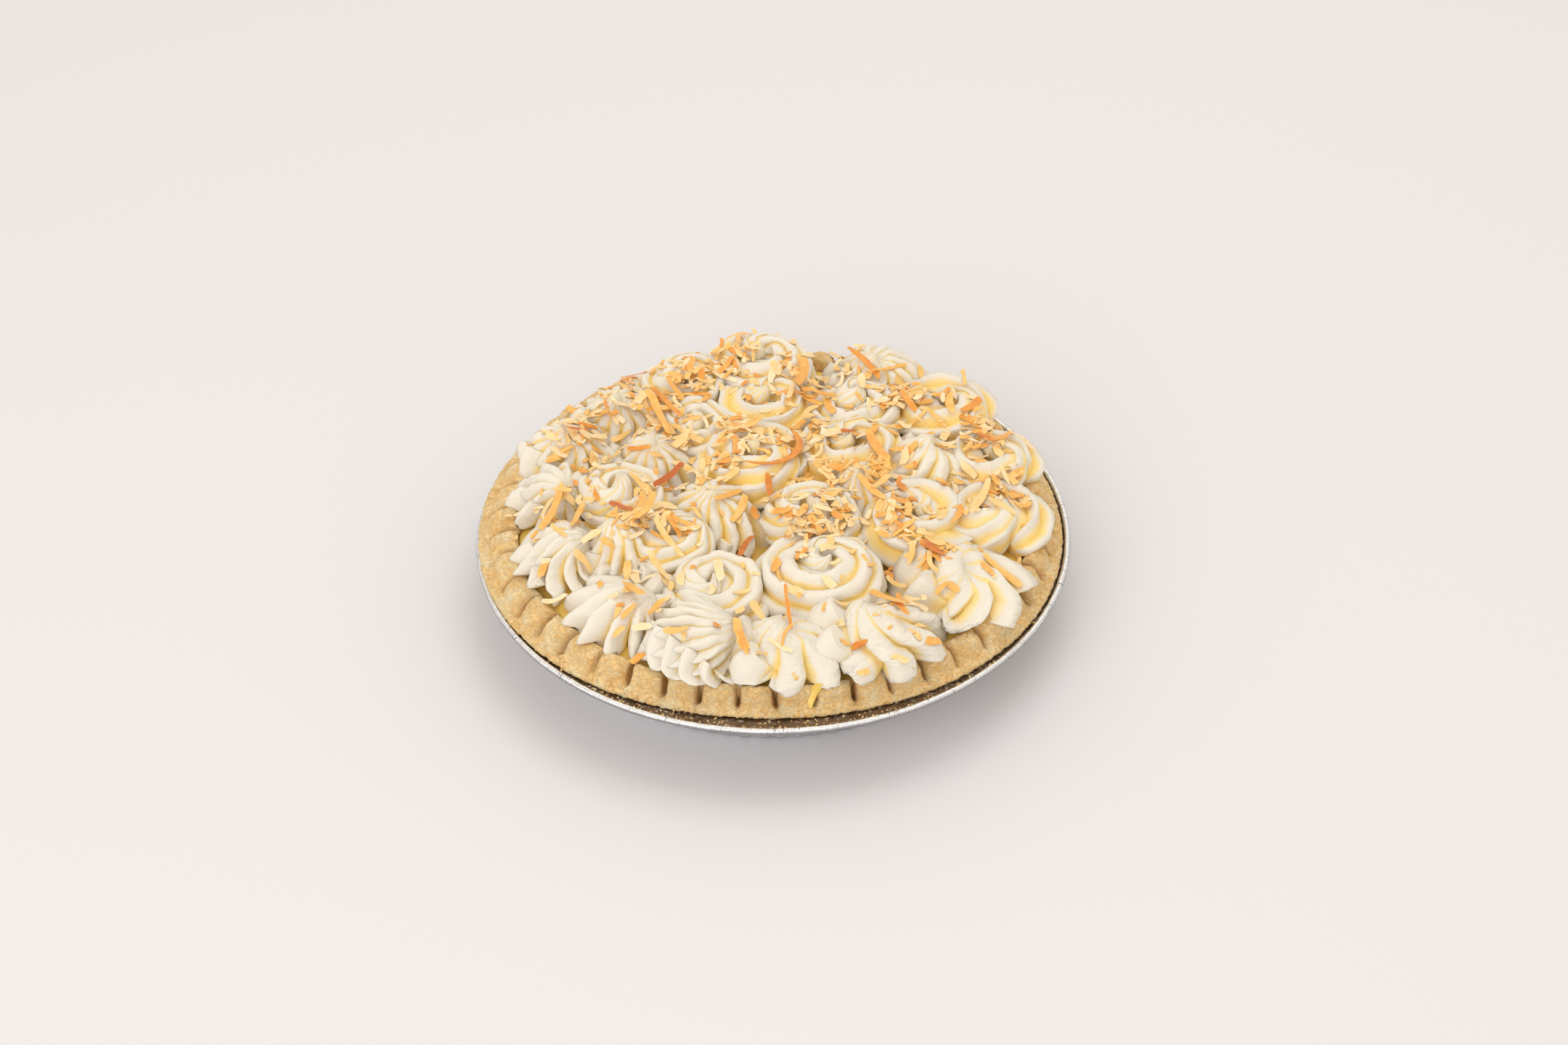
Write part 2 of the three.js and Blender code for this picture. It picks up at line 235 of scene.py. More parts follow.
def grow(name, recipe, sizes, start=None):
    """Runs a recipe once with those inputs, and gives the result as a plain piece."""
    holder = put_in_scene(name + "_start", start or bpy.data.meshes.new(name + "_start"))
    modifier = holder.modifiers.new("Grow", "NODES")
    modifier.node_group = recipe
    inputs = {i.name: i.identifier for i in recipe.interface.items_tree if i.in_out == "INPUT"}
    for title, value in sizes.items():
        modifier[inputs[title]] = value
    ready = holder.evaluated_get(bpy.context.evaluated_depsgraph_get())
    mesh = bpy.data.meshes.new_from_object(ready)
    mesh.name = name
    bpy.data.objects.remove(holder)
    return put_in_scene(name, mesh)


def serve(piece, slot, *nodes):
    """The piece rides with the pie and stands for those CAD nodes, which it hides. The slot is not
    used.
    """
    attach(piece, "root")
    if nodes:
        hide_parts(*nodes)
    return piece


def triangles(*pieces):
    return sum(len(polygon.vertices) - 2 for piece in pieces for polygon in piece.data.polygons)


def read(tree, name, kind="FLOAT"):
    """A named attribute inside a Geometry Nodes tree."""
    return tree.add("GeometryNodeInputNamedAttribute", {"data_type": kind}, [name])


def note(tree, geometry, name, value, kind="FLOAT"):
    """The geometry with a value kept at each of its points, under a name."""
    settings = {"data_type": kind, "domain": "POINT"}
    values = {"Geometry": geometry, "Name": name, "Value": value}
    return tree.add("GeometryNodeStoreNamedAttribute", settings, values)


def move(tree, geometry, place=None, offset=None):
    """The geometry with its points put at a place, or pushed by an offset."""
    return tree.add("GeometryNodeSetPosition", None, [geometry, None, place, offset])


def outward(tree, bearing, amount):
    """A push away from the axis."""
    return tree.vector(bearing.cos() * amount, bearing.sin() * amount, 0.0)


# %% [markdown]
# ## Paint
#
# Colours are picked as they look on a screen, from 0 to 255, and turned into the linear
# light that Blender mixes. `new_material` starts a tree with one Principled shader.


# %% Colours and materials
def paint(red, green, blue):
    def linear(value):
        share = value / 255
        return share / 12.92 if share <= 0.04045 else ((share + 0.055) / 1.055) ** 2.4

    return (linear(red), linear(green), linear(blue), 1.0)


def new_material(name, constants):
    """A material and its tree; the constants are set on the shader's own sockets."""
    material = bpy.data.materials.new(name)
    material.use_nodes = True
    material.node_tree.nodes.clear()
    tree = Tree(material.node_tree)
    shader = tree.add("ShaderNodeBsdfPrincipled", None, constants)
    tree.add("ShaderNodeOutputMaterial", None, {"Surface": shader})
    return material, tree, shader


def dress(tree, shader, colour=None, roughness=None, bump=None, metallic=None, relief=1.0):
    """Wires the finish that varies into the shader; bump is a height in metres."""
    wires = {"Base Color": colour, "Roughness": roughness, "Metallic": metallic}
    if bump is not None:
        values = {"Strength": relief, "Distance": 1.0, "Height": bump}
        wires["Normal"] = tree.add("ShaderNodeBump", None, values)
    for name, wire in wires.items():
        if wire is not None:
            tree.data.links.new(wire.socket, shader.socket.node.inputs[name])


def blend(tree, share, first, second):
    """A colour between two, each a colour or a wire."""
    return tree.add("ShaderNodeMix", {"data_type": "RGBA"}, [share, first, second])


def ramp(tree, stops, share):
    """A colour that runs through the stops, each a place and a paint."""
    stops = [(place, paint(*colour)) for place, colour in stops]
    return tree.add("ShaderNodeValToRGB", {"stops": stops}, [share])


def waxy(weight, reaches, depth):
    """Light that goes in and comes out again: how much, how far for red, green and blue."""
    return {"Subsurface Weight": weight, "Subsurface Radius": reaches, "Subsurface Scale": depth}


def object_place(tree):
    return tree.add("ShaderNodeTexCoord")["Object"]


def attribute(tree, name):
    return tree.add("ShaderNodeAttribute", {"attribute_name": name})["Fac"]


def count_nodes(material):
    print(material.name, "material:", len(material.node_tree.nodes), "nodes")


print("a screen grey of 128 is", round(paint(128, 128, 128)[0], 3), "in linear light")

# %% [markdown]
# ## Turned shapes
#
# The tin, the pastry and the custard are all round the same axis. We draw half of a cut
# through each as a line of (radius, height) points and turn it round. Each point of the
# line also carries weights, which the recipes later read: how deeply a crimp presses there,
# or how deep a flute is. Turning it ourselves keeps the corners exactly where the line has
# them, which an evenly resampled curve would not.


# %% Turn a line round the axis
def finely(line, longest):
    """The line with its long stretches cut into steps no longer than that, in millimetres."""
    points = [line[0]]
    for before, after in zip(line, line[1:]):
        length = math.dist(before[:2], after[:2])
        count = max(1, math.ceil(length / longest(before, after)))
        for step in range(1, count + 1):
            share = step / count
            points.append(tuple(a + (b - a) * share for a, b in zip(before, after)))
    return points


def turned(name, line, segments, weights):
    """A closed mesh from a line that starts and ends on the axis."""
    rows = np.array(line[1:-1], float)
    bearing = np.arange(segments) * (2 * math.pi / segments)
    radius, height = rows[:, 0, None] * MM, rows[:, 1, None] * MM
    ring = np.stack(
        [radius * np.cos(bearing), radius * np.sin(bearing), height + 0 * bearing], axis=-1
    ).reshape(-1, 3)
    poles = np.array([[0, 0, line[0][1] * MM], [0, 0, line[-1][1] * MM]])
    last = len(rows) - 1
    first_pole, last_pole = len(ring), len(ring) + 1
    faces = []
    for column in range(segments):
        after = (column + 1) % segments
        faces.append((first_pole, after, column))
        faces.append((last_pole, last * segments + column, last * segments + after))
        for row in range(last):
            low, high = row * segments, (row + 1) * segments
            faces.append((low + column, low + after, high + after, high + column))
    mesh = bpy.data.meshes.new(name + "_turned")
    mesh.from_pydata(np.concatenate([ring, poles]).tolist(), [], faces)
    for index, title in enumerate(weights):
        spread = np.repeat(rows[:, 2 + index], segments)
        layer = mesh.attributes.new(title, "FLOAT", "POINT")
        layer.data.foreach_set("value", np.append(spread, [0, 0]).astype(np.float32))
    layer = mesh.attributes.new("bearing", "FLOAT", "POINT")
    layer.data.foreach_set("value", np.append(np.tile(bearing, len(rows)), [0, 0]).astype(np.float32))
    return mesh


print("a 10 mm line in steps of 3 mm has", len(finely([(0, 0), (10, 0)], lambda a, b: 3)), "points")

# %% [markdown]
# ## The foil tin
#
# A throwaway tin is pressed from thin foil. Its wall is gathered into narrow flutes, and the
# edge is rolled into a bright bead that is full of small nicks. The flutes repeat round the
# tin, so a Geometry Nodes recipe makes them: it reads each point's bearing and pushes it in
# and out like a wave. A bump map could fake them, but their outline shows under the rim.

# %% Foil: bright metal, wrinkled, nicked on the bead and dusted with flour on the flange.
# The bead has a painted highlight, and painted shade under its roll.
FLOUR = paint(205, 190, 165)
BEAD_RADIUS = 114 * MM
foil, tree, shader = new_material("foil", {"Metallic": 1.0, "IOR": 1.5})
place = object_place(tree)
x, y, z = tree.parts(place)
wrinkle = tree.noise(place, 6 * MM, detail=3)
scratch = tree.noise(place * (1.0, 1.0, 0.15), 1.2 * MM, detail=4)
from_axis = (x * x + y * y) ** 0.5
round_place = tree.vector(x, y, 0.0) / from_axis * BEAD_RADIUS
nicks = tree.noise(round_place + place * (0.1, 0.1, 0.3), 0.9 * MM, detail=3, rough=0.7)
radius = from_axis / MM  # in millimetres, and so are its steps below
on_bead = radius.step(110.8, 111.6)
# The underside of the bead's roll, where shade is painted.
shaded_under_bead = on_bead * z.step(28.2 * MM, 27.2 * MM)
on_flange = radius.step(103.5, 105.5) * radius.step(111.5, 110.4)
dust = tree.noise(place, 1.6 * MM, detail=5, rough=0.65).step(0.55, 0.68) * on_flange
grey = blend(tree, wrinkle, paint(186, 187, 190), paint(236, 236, 238))
# Painted highlight: the bead is painted near-white where it catches the light.
grey = blend(tree, on_bead * 0.6, grey, paint(248, 248, 250))
# Painted shade under the bead's roll.
grey = blend(tree, shaded_under_bead * 0.7, grey, paint(132, 128, 132))
grey = blend(tree, on_bead * nicks.step(0.4, 0.32) * 0.9, grey, paint(120, 116, 118))
grey = blend(tree, on_flange * 0.8, grey, paint(108, 84, 64))
dress(
    tree,
    shader,
    colour=blend(tree, dust, grey, FLOUR),
    roughness=0.2 + wrinkle * 0.16 + dust * 0.5,
    metallic=1.0 - dust,
    bump=(wrinkle * 0.35 + scratch * 0.12 + dust * 0.3 + nicks * on_bead * 0.8) * MM,
    relief=0.7,
)
count_nodes(foil)

# %% The tin's line, turned and fluted
TIN_LINE = [
    (0, 0, 0, 0), (60, 0, 0, 0), (84, 0, 0, 0), (86.8, 0.1, 0, 0), (87.8, 0.9, 0.4, 0),
    (89.6, 3.6, 1, 0), (102.0, 23.2, 1, 0), (103.4, 25.6, 0.7, 0), (104.4, 26.2, 0.3, 0),
    (107, 26.3, 0.1, 0), (110.6, 26.3, 0, 0.3), (111.6, 26.05, 0, 1), (112.6, 25.95, 0, 1),
    (113.5, 26.4, 0, 1), (113.9, 27.3, 0, 1), (113.5, 28.2, 0, 1), (112.6, 28.6, 0, 1),
    (111.7, 28.2, 0, 1), (111.3, 27.4, 0, 0.6), (110.6, 27.1, 0, 0.3), (107, 27.0, 0.1, 0),
    (104.2, 26.9, 0.3, 0), (103.2, 26.2, 0.6, 0), (88.6, 3.2, 1, 0), (87.2, 0.9, 0.4, 0),
    (84, 0.8, 0, 0), (0, 0.8, 0, 0),
]  # radius and height in millimetres, flute weight, bead weight

FLUTES = 84
POINTS_PER_FLUTE = 9


def tin_step(before, after):
    """Long steps over the flat bottom, short ones up the wall and round the bead."""
    return 12 if max(before[1], after[1]) < 1 else 2.2


tree, given = new_growth("Foil tin", {"Flutes": "Int", "Flute Depth": "Float", "Nicks": "Float"})
bearing, fluted, beaded = read(tree, "bearing"), read(tree, "fluted"), read(tree, "beaded")
wave = (bearing * given["Flutes"]).sin()
position = tree.add("GeometryNodeInputPosition")
nick = tree.noise(position * (1.0, 1.0, 0.4), 1.5 * MM, detail=3) - 0.5
crumple = tree.noise(position, 9 * MM, detail=2) - 0.5
push = wave * fluted * given["Flute Depth"] + (nick * 1.3 + crumple) * beaded * given["Nicks"]
lift = crumple * (beaded + fluted * 0.5) * given["Nicks"]
offset = outward(tree, bearing, push) + tree.vector(0.0, 0.0, lift)
foil_recipe = finish_growth(tree, given, move(tree, given, offset=offset))

tin_line = finely(TIN_LINE, tin_step)
tin_start = turned("tin", tin_line, FLUTES * POINTS_PER_FLUTE, ["fluted", "beaded"])
sizes = {"Flutes": FLUTES, "Flute Depth": 0.65 * MM, "Nicks": 0.5 * MM, "Material": foil}
tin = grow("foil_pie_tin", foil_recipe, sizes, tin_start)
serve(tin, "foil", "foil_tin")
print("tin:", triangles(tin), "triangles")

# %% [markdown]
# ## The pastry
#
# The rim was pinched all the way round, which leaves a pillow of dough between each pair of
# narrow notches, and a thin flaky lip that spreads over the tin's flange. The recipe finds
# which notch a point is nearest to and gives each notch its own depth from a seeded random
# number. There it presses a slit between two round pillows. Noise then makes the dough lumpy
# and its lip ragged. The lip spills over the bead at the left and draws back at the front.

# %% Pastry: pale baked tan, speckled and flaky, with painted shade in the notches
pastry, tree, shader = new_material("pastry", waxy(0.12, (0.9, 0.5, 0.25), 2 * MM))
place = object_place(tree)
pressed = attribute(tree, "pressed")
patch = tree.noise(place, 7 * MM, detail=4, rough=0.6)
fleck = tree.noise(place, 1.3 * MM, detail=5, rough=0.7)
crumb = tree.noise(place, 0.7 * MM, detail=3, rough=0.6)
lip = attribute(tree, "ragged")
flake = tree.noise(place * (1.0, 1.0, 2.0), 2.2 * MM, detail=7, rough=0.7)
flaky_edge = (flake - 0.5).absolute().step(0.045, 0.0)
BAKED = [(0.30, (246, 195, 117)), (0.52, (255, 214, 147)), (0.72, (255, 235, 189))]
dough = ramp(tree, BAKED, patch)
dough = blend(tree, fleck.step(0.48, 0.7) * (0.5 + lip * 0.3), dough, paint(254, 240, 208))
dough = blend(tree, fleck.step(0.44, 0.3) * 0.35, dough, paint(206, 150, 82))
dough = blend(tree, flaky_edge * fleck.step(0.45, 0.6) * 0.45, dough, paint(255, 243, 214))
# Painted shade: the pressed notches and slits are painted a darker brown.
dough = blend(tree, pressed.step(0.5, 1.5) * 0.8, dough, paint(176, 118, 50))
dress(
    tree,
    shader,
    colour=dough,
    roughness=0.62 + fleck * 0.25,
    bump=(flake * 1.4 + fleck * 0.8 + crumb * 0.4 + flaky_edge * 0.25) * MM,
    relief=0.8,
)
count_nodes(pastry)

# %% The pastry's line
RIM_LINE = [
    (0, 1.1, 0, 0, 0), (84.5, 1.1, 0, 0, 0), (85.6, 1.3, 0, 0, 0), (101.9, 27.0, 0, 0, 0),
    (102.8, 27.3, 0, 0, 0), (108.4, 27.1, 0, 0, 1), (109.5, 27.2, 0, 0.7, 1),
    (110.7, 27.7, 0, 1, 1), (110.5, 28.4, 0, 1, 1), (109.4, 29.2, 0, 0.8, 1),
    (108.0, 30.1, 0.2, 0.3, 1), (107.3, 31.0, 0.6, 0, 0.9), (106.8, 32.4, 1, 0, 0.85),
    (106.0, 34.2, 1.1, 0, 0.75), (104.7, 35.9, 1.1, 0, 0.6), (102.8, 37.0, 1, 0, 0.4),
    (100.6, 37.2, 0.8, 0, 0.2), (99.0, 36.7, 0.5, 0, 0), (98.1, 35.6, 0.3, 0, 0),
    (97.7, 34.0, 0.1, 0, 0), (97.5, 32.0, 0, 0, 0), (97.3, 29.6, 0, 0, 0),
    (96.6, 27.0, 0, 0, 0), (83.4, 4.6, 0, 0, 0), (82.4, 4.2, 0, 0, 0), (0, 4.2, 0, 0, 0),
]  # radius, height, crimp weight, ragged-lip weight, share of the front's pull
CRIMPS = 46
POINTS_PER_CRIMP = 26


def rim_step(before, after):
    """Short steps where the rim is crimped, long ones in the shell below it."""
    return 0.75 if min(before[1], after[1]) > 27.4 else 9


rim_line = finely(RIM_LINE, rim_step)
rim_start = turned("rim", rim_line, CRIMPS * POINTS_PER_CRIMP, ["crimped", "ragged", "pulled"])
print("pastry line:", len(rim_line), "points, each turned into", CRIMPS * POINTS_PER_CRIMP)

# %% The pastry, crimped
LEFT = math.radians(172)  # where the lip spills over the bead the most
tree, given = new_growth(
    "Crimped pastry",
    {
        "Crimps": "Int",
        "First Notch": "Float",
        "Notch Depth": "Float",
        "Front Pull": "Float",
        "Left Spill": "Float",
        "Raggedness": "Float",
        "Seed": "Int",
    },
)
bearing, crimped = read(tree, "bearing"), read(tree, "crimped")
ragged, pulled = read(tree, "ragged"), read(tree, "pulled")
position = tree.add("GeometryNodeInputPosition")

# Which notch is nearest, how far off it is, counted in crimps, and how deep by chance.
turn = (bearing - given["First Notch"]) * given["Crimps"] / (2 * math.pi)
turn = turn + (tree.noise(position * (1.0, 1.0, 0.0), 30 * MM) - 0.5) * 0.5
nearest = (turn + 0.5).floor()
chance = tree.add(
    "FunctionNodeRandomValue",
    {"data_type": "FLOAT"},
    {"Min": 0.7, "Max": 1.2, "ID": nearest, "Seed": given["Seed"]},
)
from_notch = turn - nearest

# A slit at the notch, and on either side of it a pillow that rises like part of a circle.
slot_width = from_notch.step(-0.02, 0.02, 0.04, 0.08)
slit = (-((from_notch / slot_width) ** 2.0)).exponent()
closeness = 1.0 - 2.0 * from_notch.absolute()
beside_pillow = 1.0 - (1.0 - closeness * closeness).clamp(0.001, 1.0) ** 0.5
press = (slit * 0.75 + beside_pillow * 1.05) * chance * crimped

# Lumps, flakes and a ragged edge, and how squarely a point faces the front or the left.
swell = tree.noise(position, 9 * MM, detail=3) - 0.5
flake = tree.noise(position, 3.2 * MM, detail=6, rough=0.72) - 0.5
edge = tree.noise(position * (1.0, 1.0, 0.3), 2.2 * MM, detail=4, rough=0.75) - 0.5
facing_front = (-bearing.sin()).clamp(0.0, 1.0) ** 4.0
facing_left = (bearing - LEFT).cos().clamp(0.0, 1.0) ** 2.0
craggy = (crimped + ragged + 0.4 * pulled).clamp(0.0, 1.2)

# Pushed along the radius, and lifted; the rim is a little higher at the back.
push = ragged * edge * given["Raggedness"] - press * 0.9 * given["Notch Depth"]
push = push + pulled * (facing_left * given["Left Spill"] - facing_front * given["Front Pull"])
over_bead = ragged * facing_left.step(0.25, 0.6)
lift = (
    (bearing.sin() * 0.7 + 0.6 + swell * 4.5) * crimped * MM
    + flake * craggy * 2.7 * MM
    - press * given["Notch Depth"]
    + over_bead * 1.3 * MM
)
offset = outward(tree, bearing, push) + tree.vector(0.0, 0.0, lift)
# The press is kept for the pastry material, which paints shade into the notches.
shaped = note(tree, move(tree, given, offset=offset), "pressed", press)
pastry_recipe = finish_growth(tree, given, shaped)

rim = grow(
    "crimped_pastry",
    pastry_recipe,
    {
        "Crimps": CRIMPS,
        "First Notch": math.radians(270.3),
        "Notch Depth": 3.4 * MM,
        "Front Pull": 4.2 * MM,
        "Left Spill": 2.4 * MM,
        "Raggedness": 2.0 * MM,
        "Seed": 4,
        "Material": pastry,
    },
    rim_start,
)
serve(rim, "pastry", "pie_crust")
print("pastry:", triangles(rim), "triangles")

# %% [markdown]
# ## The custard
#
# Between the rosettes the custard shows as small wet yellow gaps. It is one turned shape
# with a slightly lumpy top, a little below the rim. Its gloss does most of the work, so its
# roughness is low.

# %% Custard, material and shape
custard_paint, tree, shader = new_material("custard", waxy(0.25, (1.0, 0.7, 0.2), 3 * MM))
place = object_place(tree)
cloud = tree.noise(place, 5 * MM, detail=3)
dress(
    tree,
    shader,
    colour=blend(tree, cloud, paint(236, 194, 84), paint(246, 216, 124)),
    roughness=0.22 + cloud * 0.2,
    bump=cloud * 0.8 * MM,
    relief=0.4,
)

CUSTARD_LINE = [
    (0, 4.6, 0), (82.6, 4.6, 0), (95.4, 28.6, 0), (97.4, 32.4, 0.4), (96.6, 33.2, 1),
    (92, 33.4, 1), (0, 33, 1),
]  # radius, height, lump weight
tree, given = new_growth("Custard", {"Lumps": "Float"})
position = tree.add("GeometryNodeInputPosition")
lump = (tree.noise(position, 12 * MM, detail=2) - 0.6) * read(tree, "lumpy") * given["Lumps"]
lumpy = move(tree, given, offset=tree.vector(0.0, 0.0, lump))
custard_recipe = finish_growth(tree, given, lumpy)
custard_line = finely(CUSTARD_LINE, lambda before, after: 3)
custard_start = turned("custard", custard_line, 180, ["lumpy"])
sizes = {"Lumps": 1.2 * MM, "Material": custard_paint}
custard = grow("custard_filling", custard_recipe, sizes, custard_start)
serve(custard, "custard", "coconut_custard")
print("custard:", triangles(custard), "triangles")

# %% [markdown]
# ## Piped cream
#
# A star nozzle squeezes out a rope of cream with a ridge for each of its teeth. Moved in a
# small spiral it coils into a swirl; held still and lifted it makes a drop whose ridges
# meet at a peak. Both are the same idea: a star-shaped outline swept along a path. So one
# recipe makes both, and three curves say how the path coils in, how it rises, and how thick
# the rope is on its way. After the sweep the grooves fill up towards the peak, noise shakes
# the cream and tears its crests, and a point that would sink into the custard or the rim is
# moved up or inwards, clear of it.

# %% Cream: ivory on the crests, with painted light on the tops and painted yellow shade down in the grooves
satin = {**waxy(0.3, (1.0, 0.85, 0.6), 1.5 * MM), "Specular IOR Level": 0.3}
cream, tree, shader = new_material("cream", satin)
place = object_place(tree)
# Painted light and shade: crests and high parts are painted paler, grooves and low parts a yellow
# painted shade.
painted_light_share = attribute(tree, "crest") * 0.75 + attribute(tree, "height") * 0.25
mottle = tree.noise(place, 9 * MM, detail=2) - 0.5
grain = tree.noise(place, 0.9 * MM, detail=4, rough=0.65)
piped = tree.vector(attribute(tree, "along") * 2.5, attribute(tree, "crest") * 7.0, mottle * 2.0)
streak = tree.noise(piped, 1.0, detail=2)
SHADED_GROOVE_TO_LIT_CREST = [
    (0.20, (255, 208, 84)), (0.52, (254, 216, 122)), (0.80, (243, 219, 160)), (1.00, (232, 225, 212)),
]
dress(
    tree,
    shader,
    colour=ramp(tree, SHADED_GROOVE_TO_LIT_CREST, painted_light_share + mottle * 0.25),
    roughness=0.5 + grain * 0.15,
    bump=(grain * 0.4 + streak * 0.35) * MM,
    relief=0.7,
)
count_nodes(cream)

# %% The piping recipe
SAMPLES = 9  # points on the outline for each ridge
STEPS_ALONG = 84


def piping(title, coil, rise, width):
    """A recipe for one way of piping, from its three curves along the path."""
    tree, given = new_growth(
        title,
        {
            "Centre": "Vector",
            "Height": "Float",
            "Coil": "Float",
            "Turns": "Float",
            "Start": "Float",
            "Rope": "Float",
            "Ridges": "Int",
            "Groove": "Float",
            "Crest Skew": "Float",
            "Crest Power": "Float",
            "Petals": "Float",
            "Twist": "Float",
            "Lean": "Vector",
            "Wobble": "Float",
            "Torn": "Float",
            "Rim Radius": "Float",
            "Rim Height": "Float",
            "Base Height": "Float",
        },
    )

    # The nozzle's path, with each of its points turned a little farther than the last.
    line = tree.add("GeometryNodeCurvePrimitiveLine")
    line = tree.add("GeometryNodeResampleCurve", None, {"Curve": line, "Count": STEPS_ALONG})
    along = tree.add("GeometryNodeSplineParameter")

    def curve(stops, share):
        return tree.add("ShaderNodeFloatCurve", {"stops": stops}, {"Value": share})

    def nozzle(along):
        """Where the nozzle is at that share of its path."""
        angle = given["Start"] + along * given["Turns"] * (2 * math.pi)
        out = curve(coil, along) * given["Coil"]
        spot = tree.vector(angle.cos() * out, angle.sin() * out, curve(rise, along) * given["Height"])
        return spot + given["Lean"] * (along * along)

    path = move(tree, line, nozzle(along))
    path = tree.add("GeometryNodeSetCurveTilt", None, [path, None, along * given["Twist"]])
    path = note(tree, path, "along", along)

    # The star-shaped outline, swept along the path.
    index = tree.add("GeometryNodeInputIndex")
    phase = (index / SAMPLES).fraction()
    from_crest = 2.0 * phase ** given["Crest Skew"] - 1.0
    ridge = 1.0 - from_crest.absolute() ** given["Crest Power"]
    circle = {"Resolution": given["Ridges"] * SAMPLES, "Radius": 1.0}
    outline = tree.add("GeometryNodeCurvePrimitiveCircle", None, circle)
    round_spot = tree.add("GeometryNodeInputPosition")
    outline = move(tree, outline, round_spot * (1.0 - given["Groove"] * (1.0 - ridge)))
    outline = note(tree, outline, "crest", ridge)
    rope = {"Curve": path, "Profile Curve": outline, "Scale": curve(width, along) * given["Rope"]}
    swept = tree.add("GeometryNodeCurveToMesh", None, {**rope, "Fill Caps": True})

    # The grooves fill up towards the peak, until the outline is almost as wide as its ridges.
    crest, gone = read(tree, "crest"), read(tree, "along")
    middle = nozzle(gone)
    groove_share = 1.0 - given["Groove"] * (1.0 - crest)
    filled = 1.0 + (0.94 / groove_share - 1.0) * gone.step(0.6, 0.95)
    local = middle + (tree.add("GeometryNodeInputPosition") - middle) * filled

    # In its place on the pie the cream is shaken and torn, and its lowest ridges droop outwards.
    normal = tree.add("GeometryNodeInputNormal")
    placed = local + given["Centre"]
    shake = tree.noise(placed, 11 * MM, detail=2, rough=0.45, out="Color") - (0.5, 0.5, 0.5)
    tear = tree.noise(placed, 2.2 * MM, detail=4, rough=0.7) - 0.5
    early = (1.0 - gone * 1.6).clamp(0.0, 1.0)
    flat = local * (1.0, 1.0, 0.0)
    local_height = tree.parts(local)[2]
    tip_out = flat * ((crest - 0.6) * early * given["Petals"])
    torn = normal * (tear * given["Torn"] * (0.25 + crest * crest))
    moved = placed + tip_out + shake * (given["Wobble"] * 2.0) + torn

    # It keeps off the rim where it is lower than the rim's top, and never sinks below its base.
    x, y, z = tree.parts(moved)
    from_axis = (x * x + y * y) ** 0.5
    below_rim = z.step(given["Rim Height"] + 0.7 * MM, given["Rim Height"] - 0.5 * MM)
    past_rim = (from_axis - given["Rim Radius"]).at_least(0.0)
    pulled_in = 1.0 - past_rim * below_rim / from_axis
    rested = tree.vector(x * pulled_in, y * pulled_in, z.at_least(given["Base Height"]))
    # The share of height is kept for the cream material, which paints the tops lighter as painted
    # light.
    cream_mesh = note(tree, move(tree, swept, rested), "height", local_height / given["Height"])
    return finish_growth(tree, given, cream_mesh)


swirl_recipe = piping(
    "Swirl",
    coil=[(0.0, 1.05), (0.4, 0.9), (0.7, 0.52), (0.9, 0.16), (1.0, 0.0)],
    rise=[(0.0, 0.24), (0.4, 0.34), (0.7, 0.6), (0.88, 0.82), (1.0, 1.0)],
    width=[(0.0, 0.3), (0.06, 0.86), (0.4, 1.0), (0.7, 0.86), (0.88, 0.5), (1.0, 0.04)],
)
drop_recipe = piping(
    "Drop",
    coil=[(0.0, 0.0), (0.5, 1.0), (1.0, 0.0)],
    rise=[(0.0, 0.0), (0.3, 0.26), (0.7, 0.74), (1.0, 1.0)],
    width=[(0.0, 1.0), (0.12, 1.0), (0.3, 0.93), (0.62, 0.68), (0.88, 0.3), (1.0, 0.02)],
)
print("piping:", len(swirl_recipe.nodes), "nodes in a swirl and", len(drop_recipe.nodes), "in a drop")

# %% [markdown]
# Each rosette has its own line below: how it was piped, how far it reaches, how far it turns
# and to which side, where it starts, and what is its own, such as its ridges, how torn it is
# and where it leans. Its centre and its peak are read from its CAD solid, where a fan of
# triangles meets at each of the two points.


# %% Every rosette by name
SAME_LEVEL = 0.01 * MM
CLEAR_OF_BASE = 9 * MM


def fan_points(node):
    """The middle of the solid's base and its peak: the corners that most triangles share."""
    mesh = node.data
    corners = Counter(
        tuple(round(c, 6) for c in mesh.vertices[v].co) for p in mesh.polygons for v in p.vertices
    )
    lowest = min(corner[2] for corner in corners)
    level = [c for c in corners if c[2] < lowest + SAME_LEVEL]
    above = [c for c in corners if c[2] > lowest + CLEAR_OF_BASE]
    base = max(level, key=lambda c: corners[c])
    peak = max(above, key=lambda c: (corners[c], c[2]))
    return Vector(base), Vector(peak)


# The sizes are in millimetres: reach, lean, shift (both sideways) and how deep the cream is torn.
USUAL = {"torn": 0.7, "lean": (0, 0), "shift": (0, 0), "petals": 0.0}


def swirl(reach, turns, start, **extra):
    """A rope coiled round and round to a peak in the middle."""
    usual = {**USUAL, "ridges": 10, "twist": 0.4, "torn": 0.8, "groove": 0.27, "power": 1.8}
    return {**usual, "kind": "swirl", "reach": reach, "turns": turns, "start": start, **extra}


def drop(reach, twist, start, **extra):
    """Squeezed in one place and lifted, so that its ridges meet at the peak."""
    usual = {**USUAL, "ridges": 12, "turns": 0.5, "groove": 0.3, "power": 1.6, "petals": 0.25}
    return {**usual, "kind": "drop", "reach": reach, "twist": twist, "start": start, **extra}


